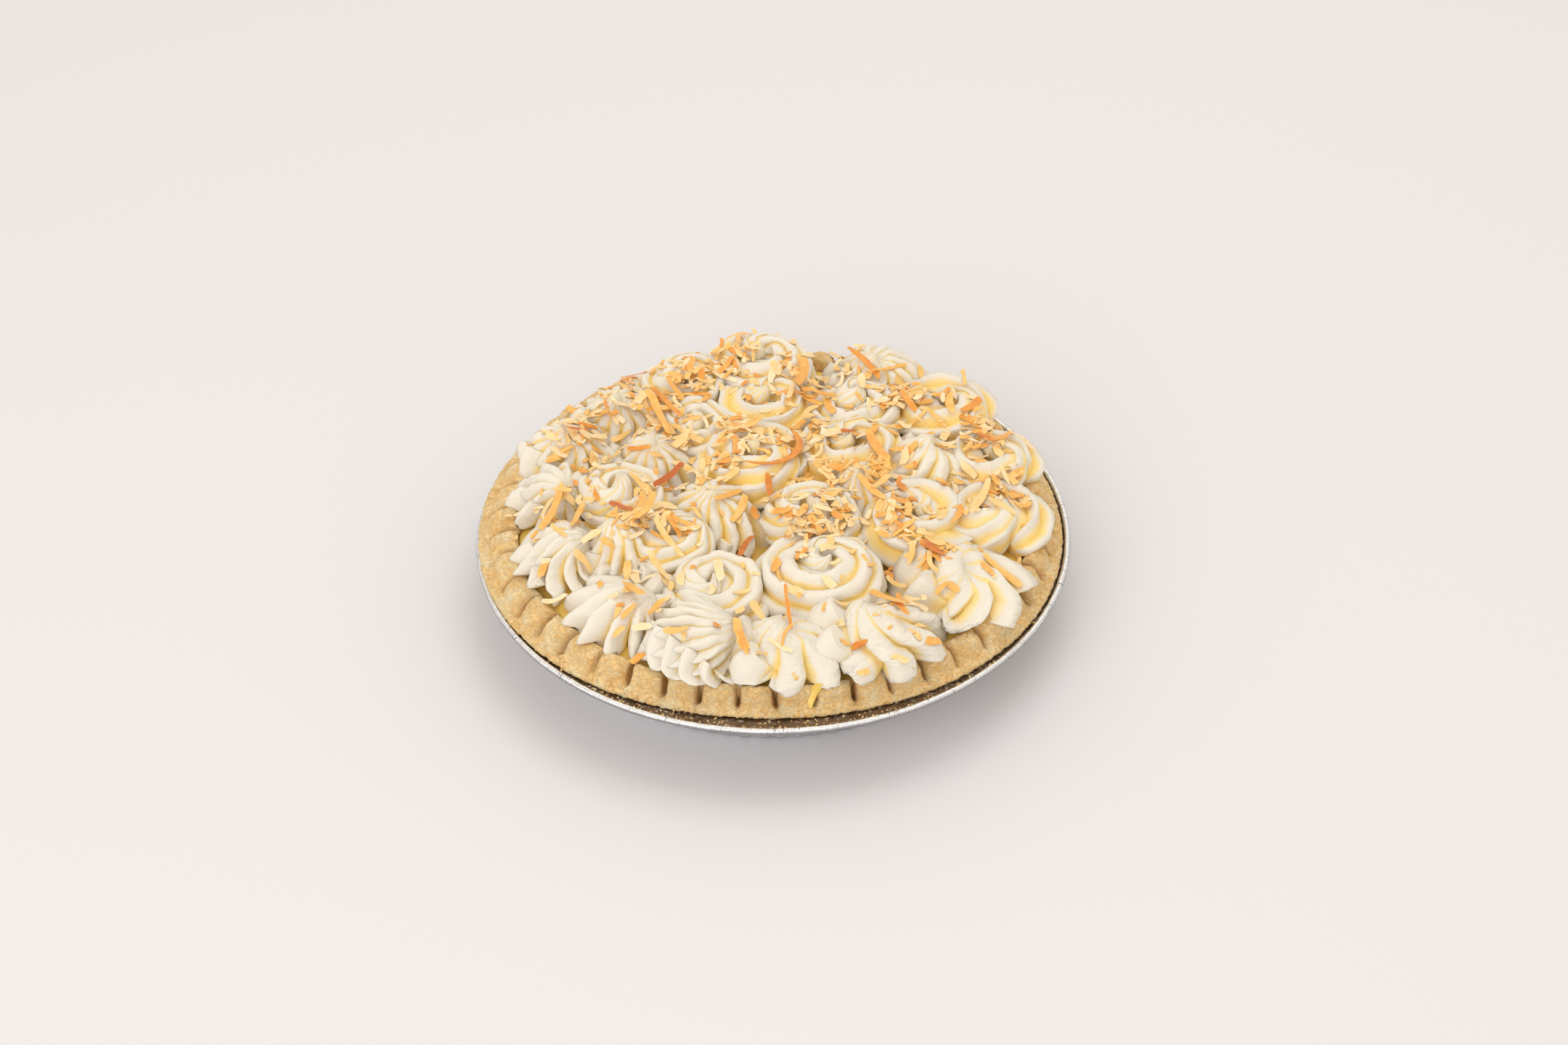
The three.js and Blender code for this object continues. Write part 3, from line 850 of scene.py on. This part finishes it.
LEFT_DROP = {"ridges": 12, "groove": 0.36, "petals": 0.6}
SOFT_DROP = {"groove": 0.26, "power": 2.2}
OPEN_SWIRL = {"ridges": 8, "power": 0.7, "groove": 0.34}
PIPED = {
    "rosette_01": drop(19, -0.5, 20, **LEFT_DROP, lean=(5, -6), shift=(2, 1)),
    "rosette_02": drop(19.5, -0.7, 0, ridges=13, groove=0.38, petals=0.6, lean=(9, 1), shift=(2, 0)),
    "rosette_03": drop(22, -0.9, 200, **LEFT_DROP, lean=(7, -1), shift=(1, 1.5)),
    "rosette_04": drop(
        23.5, 1.5, 40, ridges=18, torn=0.4, groove=0.22, petals=0.1, lean=(13, 3), shift=(-1, 0)
    ),
    "rosette_05": drop(24, 0.4, 10, **SOFT_DROP, ridges=8, torn=2.4, lean=(1, 5), shift=(-1, 0)),
    "rosette_06": drop(26, -0.7, 0, **SOFT_DROP, ridges=9, torn=3.0, lean=(-2, 6)),
    "rosette_07": drop(
        27, 1.3, 0, ridges=8, power=1.0, groove=0.36, petals=0.3, lean=(1, 0), shift=(-3, 2)
    ),
    "rosette_08": swirl(23, 1.4, 300, **OPEN_SWIRL, lean=(-6, 4)),
    "rosette_09": swirl(22, 1.5, 330, **OPEN_SWIRL),
    "rosette_10": swirl(24, 1.5, 350, **OPEN_SWIRL, shift=(-2, -1)),
    "rosette_11": drop(22, 0.8, 20, ridges=13, groove=0.34, petals=0.4, shift=(0, -1)),
    "rosette_12": swirl(24, 1.4, 90),
    "rosette_13": swirl(21, 1.5, 120),
    "rosette_14": drop(22, 0.8, 30),
    "rosette_15": drop(21, 1.0, 40),
    "rosette_16": drop(20, 0.7, 35, ridges=13, petals=0.5, lean=(-5, 3), shift=(1.5, 0)),
    "rosette_17": swirl(22, 1.6, 150),
    "rosette_18": swirl(25, 1.6, 60, lean=(4, 0)),
    "rosette_19": swirl(25, -1.5, 140, ridges=8, power=0.8, groove=0.32),
    "rosette_20": drop(23, 0.9, -40, ridges=11, power=2.0, lean=(5, 5)),
    "rosette_21": swirl(25, 1.7, 20, power=0.7, groove=0.32),
    "rosette_22": swirl(22, 1.5, 100, lean=(2, 5)),
    "rosette_23": swirl(23, 1.5, 70, power=0.8),
    "rosette_24": drop(20, 0.8, 25),
    "rosette_25": swirl(20, 1.5, 180),
    "rosette_26": swirl(21, 1.5, 210),
    "rosette_27": swirl(25, 1.6, 320, torn=1.2, power=0.8),
    "rosette_28": drop(21, 0.8, 50),
    "rosette_29": swirl(20, 1.5, 10),
    "rosette_30": swirl(22, 1.5, 230),
    "rosette_31": drop(18, 0.8, -20),
}
print("rosettes to pipe:", len(PIPED))

# %% Pipe them
rosettes = []
for name, look in PIPED.items():
    base, peak = fan_points(frame["nodes"][name])
    is_swirl = look["kind"] == "swirl"
    sizes = {
        "Centre": base + Vector((*look["shift"], 0)) * MM,
        "Height": peak.z - base.z,
        "Coil": (look["reach"] * 0.5 if is_swirl else 1.5) * MM,
        "Turns": look["turns"],
        "Start": math.radians(look["start"]),
        "Rope": look["reach"] * (0.6 if is_swirl else 1.0) * MM,
        "Ridges": look["ridges"],
        "Groove": look["groove"],
        "Crest Skew": 0.65,
        "Crest Power": look["power"],
        "Petals": look["petals"],
        "Twist": look["twist"],
        "Lean": Vector((*look["lean"], 0)) * MM,
        "Wobble": 2.3 * MM,
        "Torn": look["torn"] * MM,
        "Rim Radius": 97.2 * MM,
        "Rim Height": 36.6 * MM,
        "Base Height": 30.1 * MM,
        "Material": cream,
    }
    piece = grow("cream_" + name, swirl_recipe if is_swirl else drop_recipe, sizes)
    rosettes.append(serve(piece, "whipped_cream", name))
print("cream:", len(rosettes), "rosettes,", triangles(*rosettes), "triangles")

# %% [markdown]
# ## Toasted coconut
#
# Shreds of coconut lie wherever they fell: across the ridges, in the hollows and on each
# other. We first take the height of everything under them on a fine grid, by casting rays
# straight down. Then each shred is laid as a stiff strip would lie: it tips until it rests on
# the two highest places under it, one to each side of its middle. Its own top is added to the
# heights, so that the next one can lie on it.


# %% The ground that the coconut falls on
def solid_view(pieces):
    """One tree of all the pieces' triangles, for casting rays."""
    points, corners, count = [], [], 0
    for piece in pieces:
        mesh = piece.data
        mesh.calc_loop_triangles()
        spots = np.empty(len(mesh.vertices) * 3, np.float32)
        mesh.vertices.foreach_get("co", spots)
        faces = np.empty(len(mesh.loop_triangles) * 3, np.int32)
        mesh.loop_triangles.foreach_get("vertices", faces)
        points.append(spots.reshape(-1, 3))
        corners.append(faces.reshape(-1, 3) + count)
        count += len(mesh.vertices)
    return BVHTree.FromPolygons(np.concatenate(points).tolist(), np.concatenate(corners).tolist())


CELL = 0.5 * MM
HALF = 240  # cells from the middle to each side of the grid
ground_view = solid_view([tin, rim, custard, *rosettes])
DOWN = Vector((0, 0, -1))


def drop_height(x, y):
    hit = ground_view.ray_cast(Vector((x, y, 0.1)), DOWN)[0]
    return hit.z if hit else 0.0


steps = (np.arange(2 * HALF) - HALF + 0.5) * CELL
ground = np.array([[drop_height(x, y) for x in steps] for y in steps])
print("ground: highest point", round(float(ground.max()) / MM, 1), "mm")


# %% Lay one shred
def cells(x, y):
    column = np.clip((x / CELL + HALF).astype(int), 0, 2 * HALF - 1)
    row = np.clip((y / CELL + HALF).astype(int), 0, 2 * HALF - 1)
    return row, column


def strip_places(x, y, heading, length, width, bend):
    """Points down the strip's middle and its two sides, seen from above."""
    share = np.linspace(-0.5, 0.5, max(3, int(length / CELL) + 1))
    turn = bend if abs(bend) > 0.02 else 0.02
    middle_x = length * np.sin(turn * share) / turn
    middle_y = length * (1 - np.cos(turn * share)) / turn
    sides = np.array([-0.5, 0.0, 0.5])[:, None] * width
    local_x = middle_x - sides * np.sin(turn * share)
    local_y = middle_y + sides * np.cos(turn * share)
    cos, sin = math.cos(heading), math.sin(heading)
    return middle_x, x + local_x * cos - local_y * sin, y + local_x * sin + local_y * cos


SUNK = 0.25 * MM
HIGHEST = 56.0 * MM  # a shred that would stick up past this is pressed into the cream
STEEPEST = 1.0  # rise over run, along the shred
MOST_TILT = 0.7  # rise over run, across it


def lay(x, y, heading, length, width, bend, thickness):
    """Rests a strip on the ground; gives its spot and tilt, or None where it would stand up."""
    run, px, py = strip_places(x, y, heading, length, width, bend)
    row, column = cells(px, py)
    heights = ground[row, column]
    top = heights.max(axis=0)
    left, right_side = run[:, None], run[None, :]
    gap = right_side - left
    gap = np.where((left <= 0) & (right_side >= 0) & (gap > 1e-6), gap, np.nan)
    level_here = (top[:, None] * right_side - top[None, :] * left) / gap
    best = np.nanargmax(level_here)
    slope = ((top[None, :] - top[:, None]) / gap).flat[best]
    height = level_here.flat[best]
    if abs(slope) > STEEPEST:
        return None
    tilt = float(np.clip(np.mean(heights[2] - heights[0]) / width, -MOST_TILT, MOST_TILT))
    height -= max(0.0, height + (slope * run).max() - HIGHEST)
    line = height + slope * run
    ground[row, column] = np.maximum(heights, np.broadcast_to(line + thickness * 0.8, heights.shape))
    spot = (x, y, height + thickness / 2 - SUNK)
    roll = math.atan(tilt) * max(0.0, 0.8 - abs(bend))  # the more it bends, the less it rolls
    return spot, (roll, -math.atan(slope), heading)


tried = strip_places(0, 0, heading=0, length=10 * MM, width=2 * MM, bend=0.5)[1]
print("a 10 mm shred feels the ground at", tried.size, "points")

# %% [markdown]
# The recipe for the shreds puts one small box at every point, cut into steps along its
# length, and bends it there by numbers that the point carries: length, width, thickness,
# bend to the side, curl up, and twist. One box with 34 faces serves every shred.

# %% The recipe for every shred
SHRED_NUMBERS = ["long", "wide", "thick", "bend", "curl", "twist", "toast", "chance"]
tree, given = new_growth("Coconut shreds", {"Raggedness": "Float"})
box = tree.add("GeometryNodeMeshCube", None, [(1.0, 1.0, 1.0), 9, 2, 2])
spot = tree.add("GeometryNodeInputPosition")
box = note(tree, box["Mesh"], "local", spot, "FLOAT_VECTOR")
copies = tree.add("GeometryNodeInstanceOnPoints", None, {"Points": given, "Instance": box})
copies = tree.add("GeometryNodeRealizeInstances", None, [copies])
number = {name: read(tree, name) for name in SHRED_NUMBERS}

# Along, across and through the box, each from -0.5 to 0.5.
s, w, h = tree.parts(read(tree, "local", "FLOAT_VECTOR"))
rag = tree.noise(tree.vector(s * 3.0, w * 0.9, number["chance"] * 97.0), 1.0, detail=2) - 0.5
far_out = s * s * 4.0
w = w * (1.0 - far_out * far_out * 0.3 + rag * given["Raggedness"])
s = s + w * (number["chance"] - 0.5) * number["wide"] / number["long"] * 1.4

# Bent to the side as an arc, with a slight wave. A positive curl lifts its ends, a negative
# one its middle.
turn = number["bend"]
bent = turn * s
local_x = number["long"] * bent.sin() / turn - w * number["wide"] * bent.sin()
local_y = number["long"] * (1.0 - bent.cos()) / turn + w * number["wide"] * bent.cos()
wave = (s * 5.0 + number["chance"] * 40.0).sin() * 0.014
local_y = local_y + number["long"] * wave
curl = number["curl"]
ends_up = curl.at_least(0.0) * s * s
middle_up = (-curl).at_least(0.0) * (0.25 - s * s)
local_z = h * number["thick"] * (1.0 - far_out * 0.5) + (ends_up + middle_up) * number["long"]
local_z = local_z + w * number["wide"] * (number["twist"] * s).sin()

# Tilted as it lies, and put in its spot.
bent_spot = tree.vector(local_x, local_y, local_z)
tilted = tree.add("FunctionNodeEulerToRotation", None, [read(tree, "tilt", "FLOAT_VECTOR")])
laid = tree.add("FunctionNodeRotateVector", None, [bent_spot, tilted])
shreds = move(tree, copies, read(tree, "spot", "FLOAT_VECTOR") + laid)
shreds = note(tree, shreds, "edge", w.absolute() * 2.0)
shred_recipe = finish_growth(tree, given, shreds, smooth=False)
print("shred recipe:", len(shred_recipe.nodes), "nodes")

# %% Coconut: cream-white to golden to orange-brown, darker along the cut edges
coconut, tree, shader = new_material("coconut", waxy(0.2, (1.0, 0.8, 0.6), 0.8 * MM))
place = object_place(tree)
toast = attribute(tree, "toast")
blotch = tree.noise(place, 3.5 * MM, detail=3) - 0.5
fibre = tree.noise(place, 0.6 * MM, detail=3) - 0.5
shade = toast + blotch * 0.30 + fibre * 0.12 + attribute(tree, "edge") ** 2.0 * 0.11
RAW_TO_TOASTED = [
    (0.02, (246, 228, 196)), (0.25, (245, 210, 148)), (0.48, (242, 188, 102)),
    (0.70, (232, 154, 62)), (0.95, (196, 102, 38)),
]
dress(
    tree,
    shader,
    colour=ramp(tree, RAW_TO_TOASTED, shade),
    roughness=0.42 + fibre * 0.3,
    bump=(fibre + blotch) * 0.2 * MM,
    relief=0.6,
)
count_nodes(coconut)

# %% [markdown]
# The largest shreds are laid where the photograph has them. Each line gives the two
# ends as the camera sees them, which a ray finds on the pie, then width, bend and toast.
# The rest fall by chance, thickest over the middle and the back. Chance comes from a seeded
# generator, so the pie is the same each time.

# %% The camera, which the listed shreds are placed through
ELEVATION = math.radians(39.13)
DISTANCE = 1.163
ROLL = math.radians(-0.75)
TARGET = Vector((0.0041, 0.0382, 0))
LENS, SENSOR = 66.67, 36  # millimetres
WIDTH, HEIGHT = 2160, 1440  # pixels
backward = Vector((0, -math.cos(ELEVATION), math.sin(ELEVATION)))
level = Vector((1, 0, 0))
upright = backward.cross(level)
right = math.cos(ROLL) * level + math.sin(ROLL) * upright
up = backward.cross(right)
eye = TARGET + backward * DISTANCE


def seen_at(column, row):
    """The point of the pie that the camera sees at that pixel."""
    scale = SENSOR / LENS / WIDTH
    ray = (column - WIDTH / 2) * scale * right - (row - HEIGHT / 2) * scale * up - backward
    return ground_view.ray_cast(eye, ray.normalized())[0]


print("camera at", [round(value, 3) for value in eye], "metres")

# %% Listed shreds, and the places where the rest lie thickest
BY_HAND = [  # column and row of both ends, width in mm, bend, toast
    (1126, 612, 1050, 672, 3.2, -2.3, 0.66), (1058, 655, 1060, 692, 2.8, 0.1, 0.72),
    (902, 681, 942, 657, 2.6, 0.1, 0.95), (1035, 738, 1015, 766, 2.6, 0.3, 0.8),
    (838, 696, 872, 715, 2.4, 0.2, 0.85), (1267, 752, 1303, 766, 3.0, 0.1, 0.72),
    (1238, 662, 1246, 700, 3.2, 0.2, 0.66), (1172, 893, 1196, 883, 3.2, 0.1, 0.72),
    (1080, 812, 1089, 866, 1.6, 0.3, 0.62), (1089, 866, 1074, 892, 1.4, 0.5, 0.45),
    (1172, 491, 1215, 529, 2.8, -0.7, 0.62), (858, 524, 893, 516, 1.8, 0.1, 0.62),
    (856, 524, 872, 544, 1.8, 0.1, 0.6), (795, 592, 825, 593, 2.2, 0.1, 0.66),
    (778, 606, 812, 598, 2.2, 0.2, 0.75), (900, 558, 937, 582, 2.8, 0.1, 0.6),
    (862, 628, 898, 631, 2.4, 0.1, 0.6), (893, 564, 922, 604, 3.4, 0.1, 0.42),
    (746, 735, 778, 673, 3.4, 0.2, 0.45), (788, 730, 805, 700, 3.0, 0.1, 0.36),
    (765, 700, 790, 712, 2.4, 0.3, 0.3), (760, 732, 780, 742, 2.0, 0.2, 0.3),
    (880, 735, 888, 672, 3.4, 0.4, 0.38), (882, 738, 905, 706, 3.4, 0.5, 0.42),
    (915, 728, 965, 726, 3.0, -0.5, 0.38), (902, 733, 940, 772, 2.6, 0.2, 0.24),
    (890, 790, 924, 810, 3.0, 0.4, 0.16), (860, 806, 885, 838, 4.0, 0.4, 0.42),
    (856, 858, 876, 835, 2.4, 0.3, 0.4), (912, 875, 950, 880, 3.4, 0.6, 0.34),
    (1012, 858, 1026, 900, 4.2, 0.3, 0.42), (1018, 890, 1030, 912, 2.2, 0.2, 0.5),
    (1100, 733, 1112, 700, 3.2, 0.2, 0.34), (1062, 716, 1092, 712, 3.4, 0.2, 0.48),
    (1196, 815, 1246, 850, 3.4, 0.2, 0.42), (1232, 824, 1250, 874, 2.6, 0.2, 0.55),
    (1251, 792, 1259, 752, 3.0, 0.1, 0.24), (1266, 742, 1288, 744, 3.0, 0.3, 0.2),
    (1180, 658, 1218, 690, 3.0, 0.3, 0.42), (1203, 690, 1226, 664, 3.0, 0.1, 0.28),
    (1140, 660, 1162, 650, 3.4, 0.2, 0.5), (1192, 610, 1222, 652, 4.2, 0.5, 0.5),
    (1158, 602, 1182, 604, 2.6, 0.4, 0.8), (1120, 690, 1140, 672, 3.0, 0.2, 0.55),
    (1240, 560, 1262, 568, 3.0, 0.2, 0.6), (1290, 558, 1310, 546, 2.0, 0.4, 0.55),
    (1325, 570, 1352, 560, 3.6, 0.3, 0.62), (1358, 618, 1396, 600, 2.8, 0.4, 0.5),
    (1346, 606, 1366, 620, 2.4, 0.2, 0.72), (1102, 545, 1112, 508, 4.0, 0.5, 0.5),
    (1120, 554, 1152, 546, 3.0, 0.5, 0.45), (1200, 524, 1250, 506, 1.6, 0.2, 0.4),
    (1015, 462, 1020, 484, 2.4, 0.1, 0.4), (940, 494, 962, 498, 2.0, 0.2, 0.6),
    (990, 520, 1012, 500, 2.6, 0.3, 0.5), (950, 528, 956, 510, 3.0, 0.2, 0.45),
    (920, 532, 940, 558, 2.4, 0.2, 0.5), (1010, 600, 1045, 588, 3.6, 0.2, 0.5),
    (1022, 605, 1050, 590, 3.4, 0.1, 0.3), (930, 630, 950, 605, 3.6, 0.1, 0.18),
    (985, 704, 1022, 678, 2.6, 0.3, 0.4), (1010, 722, 1030, 690, 3.2, 0.4, 0.36),
    (1340, 720, 1362, 672, 3.0, 0.2, 0.16), (1360, 700, 1400, 712, 3.0, 0.2, 0.2),
    (1390, 690, 1408, 682, 3.4, 0.1, 0.45), (1352, 764, 1408, 816, 3.2, 0.3, 0.34),
    (1302, 806, 1322, 818, 3.0, 0.3, 0.4), (1228, 952, 1250, 958, 3.6, 0.1, 0.16),
    (1274, 904, 1298, 892, 3.6, 0.2, 0.42), (867, 917, 889, 918, 3.8, 0.3, 0.5),
    (1158, 880, 1170, 892, 3.4, 0.1, 0.36), (1182, 930, 1198, 928, 3.0, 0.1, 0.3),
]
CLUSTERS = [  # column and row of the places where the coconut lies thickest
    (1080, 728), (1112, 738), (1150, 715), (1198, 650), (1232, 706), (1266, 760), (1240, 850),
    (1144, 664), (1052, 612), (1010, 590), (935, 605), (868, 716), (768, 712), (905, 722),
    (868, 842), (1022, 898), (905, 576), (1012, 492), (950, 520), (1100, 530), (1120, 600),
    (1330, 578), (1372, 612), (1395, 672), (1240, 560), (845, 560), (800, 605), (985, 650),
]
cluster_spots = [spot for spot in (seen_at(*pixel) for pixel in CLUSTERS) if spot]
print("by hand:", len(BY_HAND), "shreds; clusters that lie on the pie:", len(cluster_spots))

# %% Lay them all
REACH = 0.11  # metres from the middle to each side, where chance may put a shred
OUTERMOST = 0.1045  # metres from the axis; a place beyond it is not tried
FRONT_SHARE, RIM_SHARE = 0.22, 0.4  # of the tried shreds, how many stay at the front and rim
CLUSTER_SPREAD = 5.5 * MM
SLIDE = 2.5 * MM  # how far a shred may slide into a hollow
LONGEST_CHORD = 30 * MM
HAND_WIDTH = 0.85  # of the width that is read off the photograph
HAND_THICKNESS = 0.34 * MM
generator = np.random.default_rng(7)


def add_shred(rows, x, y, heading, length, width, thickness, bend, curl, toast):
    """Lays a shred and adds it to the rows, unless it would stand up."""
    bend = bend if abs(bend) > 0.05 else 0.05
    laid_at = lay(x, y, heading, length, width, bend, thickness)
    if laid_at:
        spot, tilt = laid_at
        twist = generator.uniform(-0.9, 0.9)
        numbers = [length, width, thickness, bend, curl, twist, toast, generator.random()]
        rows.append((spot, tilt, numbers))


def share_kept(x, y):
    """The share of tried shreds that stay: all, but for fewer at the front and near the rim."""
    radius = math.hypot(x, y)
    from_front = float(np.clip((y + 0.085) / 0.06, 0, 1))
    near_rim = float(np.clip((radius - 0.078) / 0.024, 0, 1))
    share = (FRONT_SHARE + (1 - FRONT_SHARE) * from_front) * (1 - (1 - RIM_SHARE) * near_rim)
    return 0.0 if radius > OUTERMOST else share


def scatter(rows, count, in_clusters, length_range, width_range, toast_curve):
    """Shreds at chance places or near the clusters; half of them slide into a hollow nearby."""
    made = 0
    while made < count:
        x, y = generator.uniform(-REACH, REACH, 2)
        if generator.random() < in_clusters:
            spot = cluster_spots[generator.integers(len(cluster_spots))]
            x, y = generator.normal((spot.x, spot.y), CLUSTER_SPREAD)
        if generator.random() > share_kept(x, y):
            continue
        if generator.random() < 0.5:
            near = generator.normal(0, SLIDE, (3, 2)) + (x, y)
            row, column = cells(near[:, 0], near[:, 1])
            x, y = near[np.argmin(ground[row, column])]
        length = generator.triangular(*length_range) * MM
        width = min(generator.uniform(*width_range) * MM, length * 0.6)
        toast = toast_curve(generator.random())
        curl = generator.normal(0.05, 0.22)
        thickness = generator.uniform(0.2, 0.36) * MM
        bend = generator.normal(0, 0.8)
        heading = generator.uniform(0, 2 * math.pi)
        add_shred(rows, x, y, heading, length, width, thickness, bend, curl, toast)
        made += 1


def lay_by_hand(rows, x0, y0, x1, y1, width, bend, toast):
    """A shred between the places seen at two pixels, as long as its bend makes it."""
    ends = [seen_at(x0, y0), seen_at(x1, y1)]
    if None in ends:
        return
    middle, across = (ends[0] + ends[1]) / 2, ends[1] - ends[0]
    chord = min(math.hypot(across.x, across.y), LONGEST_CHORD)
    length = chord * (bend / 2) / math.sin(bend / 2)
    heading = math.atan2(across.y, across.x)
    width = width * HAND_WIDTH * MM
    curl = generator.uniform(0.0, 0.1)
    add_shred(rows, middle.x, middle.y, heading, length, width, HAND_THICKNESS, bend, curl, toast)


# Large shreds, then small ones: how many, the share near clusters, the shortest, likeliest and
# greatest length, the least and greatest width, and how toasted chance makes them.
shred_rows = []
scatter(shred_rows, 500, 0.55, (3.5, 6, 13), (1.2, 3.4), lambda chance: 0.55 * chance**1.5)
scatter(shred_rows, 820, 0.5, (1.5, 2.6, 6), (0.9, 2.8), lambda chance: 0.02 + 0.56 * chance**1.4)
for shred in BY_HAND:
    lay_by_hand(shred_rows, *shred)
print("coconut:", len(shred_rows), "shreds laid")


# %% Grow the coconut
def shred_points(name, rows):
    """A cloud of points that carries each shred's numbers."""
    cloud = bpy.data.meshes.new(name)
    cloud.from_pydata([row[0] for row in rows], [], [])
    for title, values in (("spot", [row[0] for row in rows]), ("tilt", [row[1] for row in rows])):
        layer = cloud.attributes.new(title, "FLOAT_VECTOR", "POINT")
        layer.data.foreach_set("vector", np.array(values, np.float32).ravel())
    for index, title in enumerate(SHRED_NUMBERS):
        layer = cloud.attributes.new(title, "FLOAT", "POINT")
        layer.data.foreach_set("value", np.array([row[2][index] for row in rows], np.float32))
    return cloud


sizes = {"Raggedness": 1.35, "Material": coconut}
topping = grow("toasted_coconut", shred_recipe, sizes, shred_points("shreds", shred_rows))
serve(topping, "coconut")
print("coconut:", triangles(topping), "triangles")

# %% [markdown]
# Two small things lie round the rim. Crumbs fell on the tin's flange, and the shred recipe
# makes them in another size and material. A dribble of custard ran over the front: it is a
# soft tube, flattened and half sunk, along a line that the camera's rays find on the rim.

# %% Crumbs
CRUMBS = 230
MOST_CRUMBS = 262  # bearing in degrees of the place that most of them lie near
SPREAD = 32  # degrees
crumb_rows = []
while len(crumb_rows) < CRUMBS:
    bearing = math.radians(generator.normal(MOST_CRUMBS, SPREAD))
    radius = generator.uniform(106.5, 112.2) * MM
    size = generator.uniform(0.3, 0.9) * MM
    x, y = radius * math.cos(bearing), radius * math.sin(bearing)
    heading = generator.uniform(0, 3)
    add_shred(crumb_rows, x, y, heading, size, size * 0.8, size * 0.6, bend=0.05, curl=0, toast=0)
sizes = {"Raggedness": 1.5, "Material": pastry}
crumbs = grow("flange_crumbs", shred_recipe, sizes, shred_points("crumbs", crumb_rows))
serve(crumbs, "pastry")
print("crumbs:", len(crumb_rows), "crumbs,", triangles(crumbs), "triangles")


# %% The dribble's helpers
def rounded(points, times):
    """The same points with their corners smoothed away, that many times over."""
    for _ in range(times):
        points[1:-1] = (points[:-2] + 2 * points[1:-1] + points[2:]) / 4
    return points


def unit(vectors):
    return vectors / np.linalg.norm(vectors, axis=1)[:, None]


print("length of a unit vector:", round(float(np.linalg.norm(unit(np.array([[3.0, 4.0, 0.0]])))), 3))

# %% The dribble
DRIBBLE = [  # column and row of its middle line, width in mm
    (1133, 943, 3.0), (1127, 946, 3.8), (1121, 950, 4.0), (1118, 956, 3.8), (1116, 963, 3.4),
    (1116, 970, 2.8), (1117, 976, 1.8),
]
AROUND, ALONG = 14, 28  # points round the tube and along it
HALF_WIDTH, HALF_DEPTH = 0.5, 0.26  # shares of its width
stops = np.arange(len(DRIBBLE))
along = np.linspace(0, len(DRIBBLE) - 1, ALONG)
seen = rounded(np.array([seen_at(column, row) for column, row, width in DRIBBLE]), 2)
middle = rounded(np.stack([np.interp(along, stops, seen[:, axis]) for axis in range(3)], axis=1), 6)
swelling = np.sin(np.linspace(0.03, 0.97, ALONG) * math.pi) ** 0.4
width = np.interp(along, stops, [row[2] for row in DRIBBLE]) * swelling * MM
forward = unit(np.gradient(middle, axis=0))
sideways = unit(np.cross(forward, np.array(backward)))
outwards = np.cross(sideways, forward)
angle = (np.arange(AROUND) * (2 * math.pi / AROUND))[None, :, None]
width = width[:, None, None]
skin = middle[:, None] + sideways[:, None] * np.cos(angle) * width * HALF_WIDTH
skin = skin + outwards[:, None] * np.sin(angle) * width * HALF_DEPTH
faces = [tuple(range(AROUND)), tuple(reversed(range((ALONG - 1) * AROUND, ALONG * AROUND)))]
for ring in range(ALONG - 1):
    for corner in range(AROUND):
        here, beside = ring * AROUND + corner, ring * AROUND + (corner + 1) % AROUND
        faces.append((here, here + AROUND, beside + AROUND, beside))
dribble_mesh = bpy.data.meshes.new("custard_dribble")
dribble_mesh.from_pydata(skin.reshape(-1, 3).tolist(), [], faces)
dribble_mesh.shade_smooth()
dribble_mesh.materials.append(custard_paint)
dribble = put_in_scene("custard_dribble", dribble_mesh)
serve(dribble, "custard")
print("dribble:", triangles(dribble), "triangles")

# %% [markdown]
# ## A plain studio
#
# The pie stands on a pale floor that curves up nowhere: it is simply wide. Soft light comes
# from two large panels, one overhead at the back and one in front, and a pale warm world fills
# the shadows. The camera looks down at the pie from the front at the photograph's angle.

# %% Floor
WIDE = 6.0
floor_corners = [(-WIDE, -WIDE, 0), (WIDE, -WIDE, 0), (WIDE, WIDE, 0), (-WIDE, WIDE, 0)]
floor_mesh = bpy.data.meshes.new("floor")
floor_mesh.from_pydata(floor_corners, [], [(0, 1, 2, 3)])
floor = put_in_scene("floor", floor_mesh)
matt = {"Base Color": paint(222, 220, 224), "Roughness": 0.6}
floor_paint, tree, shader = new_material("floor", matt)
floor_mesh.materials.append(floor_paint)
count_nodes(floor_paint)

# %% Lights
PIE_MIDDLE = Vector((0, 0, 0.03))
DAYLIGHT = (0.95, 0.97, 1.0)
WARM_WHITE = (1.0, 0.935, 0.83, 1)


def panel(name, place, size, power):
    """A square soft light that faces the pie; size in metres, power in watts."""
    data = bpy.data.lights.new(name, "AREA")
    data.shape, data.size = "SQUARE", size
    data.energy, data.color = power, DAYLIGHT
    facing = (PIE_MIDDLE - Vector(place)).to_track_quat("-Z", "Y")
    light = put_in_scene(name, data)
    light.matrix_world = Matrix.Translation(place) @ facing.to_matrix().to_4x4()


panel("overhead", (0.25, 0.4, 1.5), size=1.0, power=4.8)
panel("front_fill", (-0.7, -1.3, 0.9), size=1.2, power=9.8)
world = bpy.data.worlds.new("studio")
world.use_nodes = True
background = world.node_tree.nodes["Background"]
background.inputs["Color"].default_value = WARM_WHITE
background.inputs["Strength"].default_value = 0.91
bpy.context.scene.world = world
print("lights:", [light.name for light in bpy.data.lights], "and world", world.name)

# %% Camera
lens = bpy.data.cameras.new("camera")
lens.lens, lens.sensor_width, lens.clip_end = LENS, SENSOR, 50
camera = put_in_scene("camera", lens)
facing = Matrix((right, up, backward)).transposed().to_4x4()
camera.matrix_world = Matrix.Translation(eye) @ facing
bpy.context.scene.view_settings.view_transform = "Standard"
bpy.context.scene.camera = camera
print("camera:", LENS, "mm lens,", DISTANCE, "m from its target")
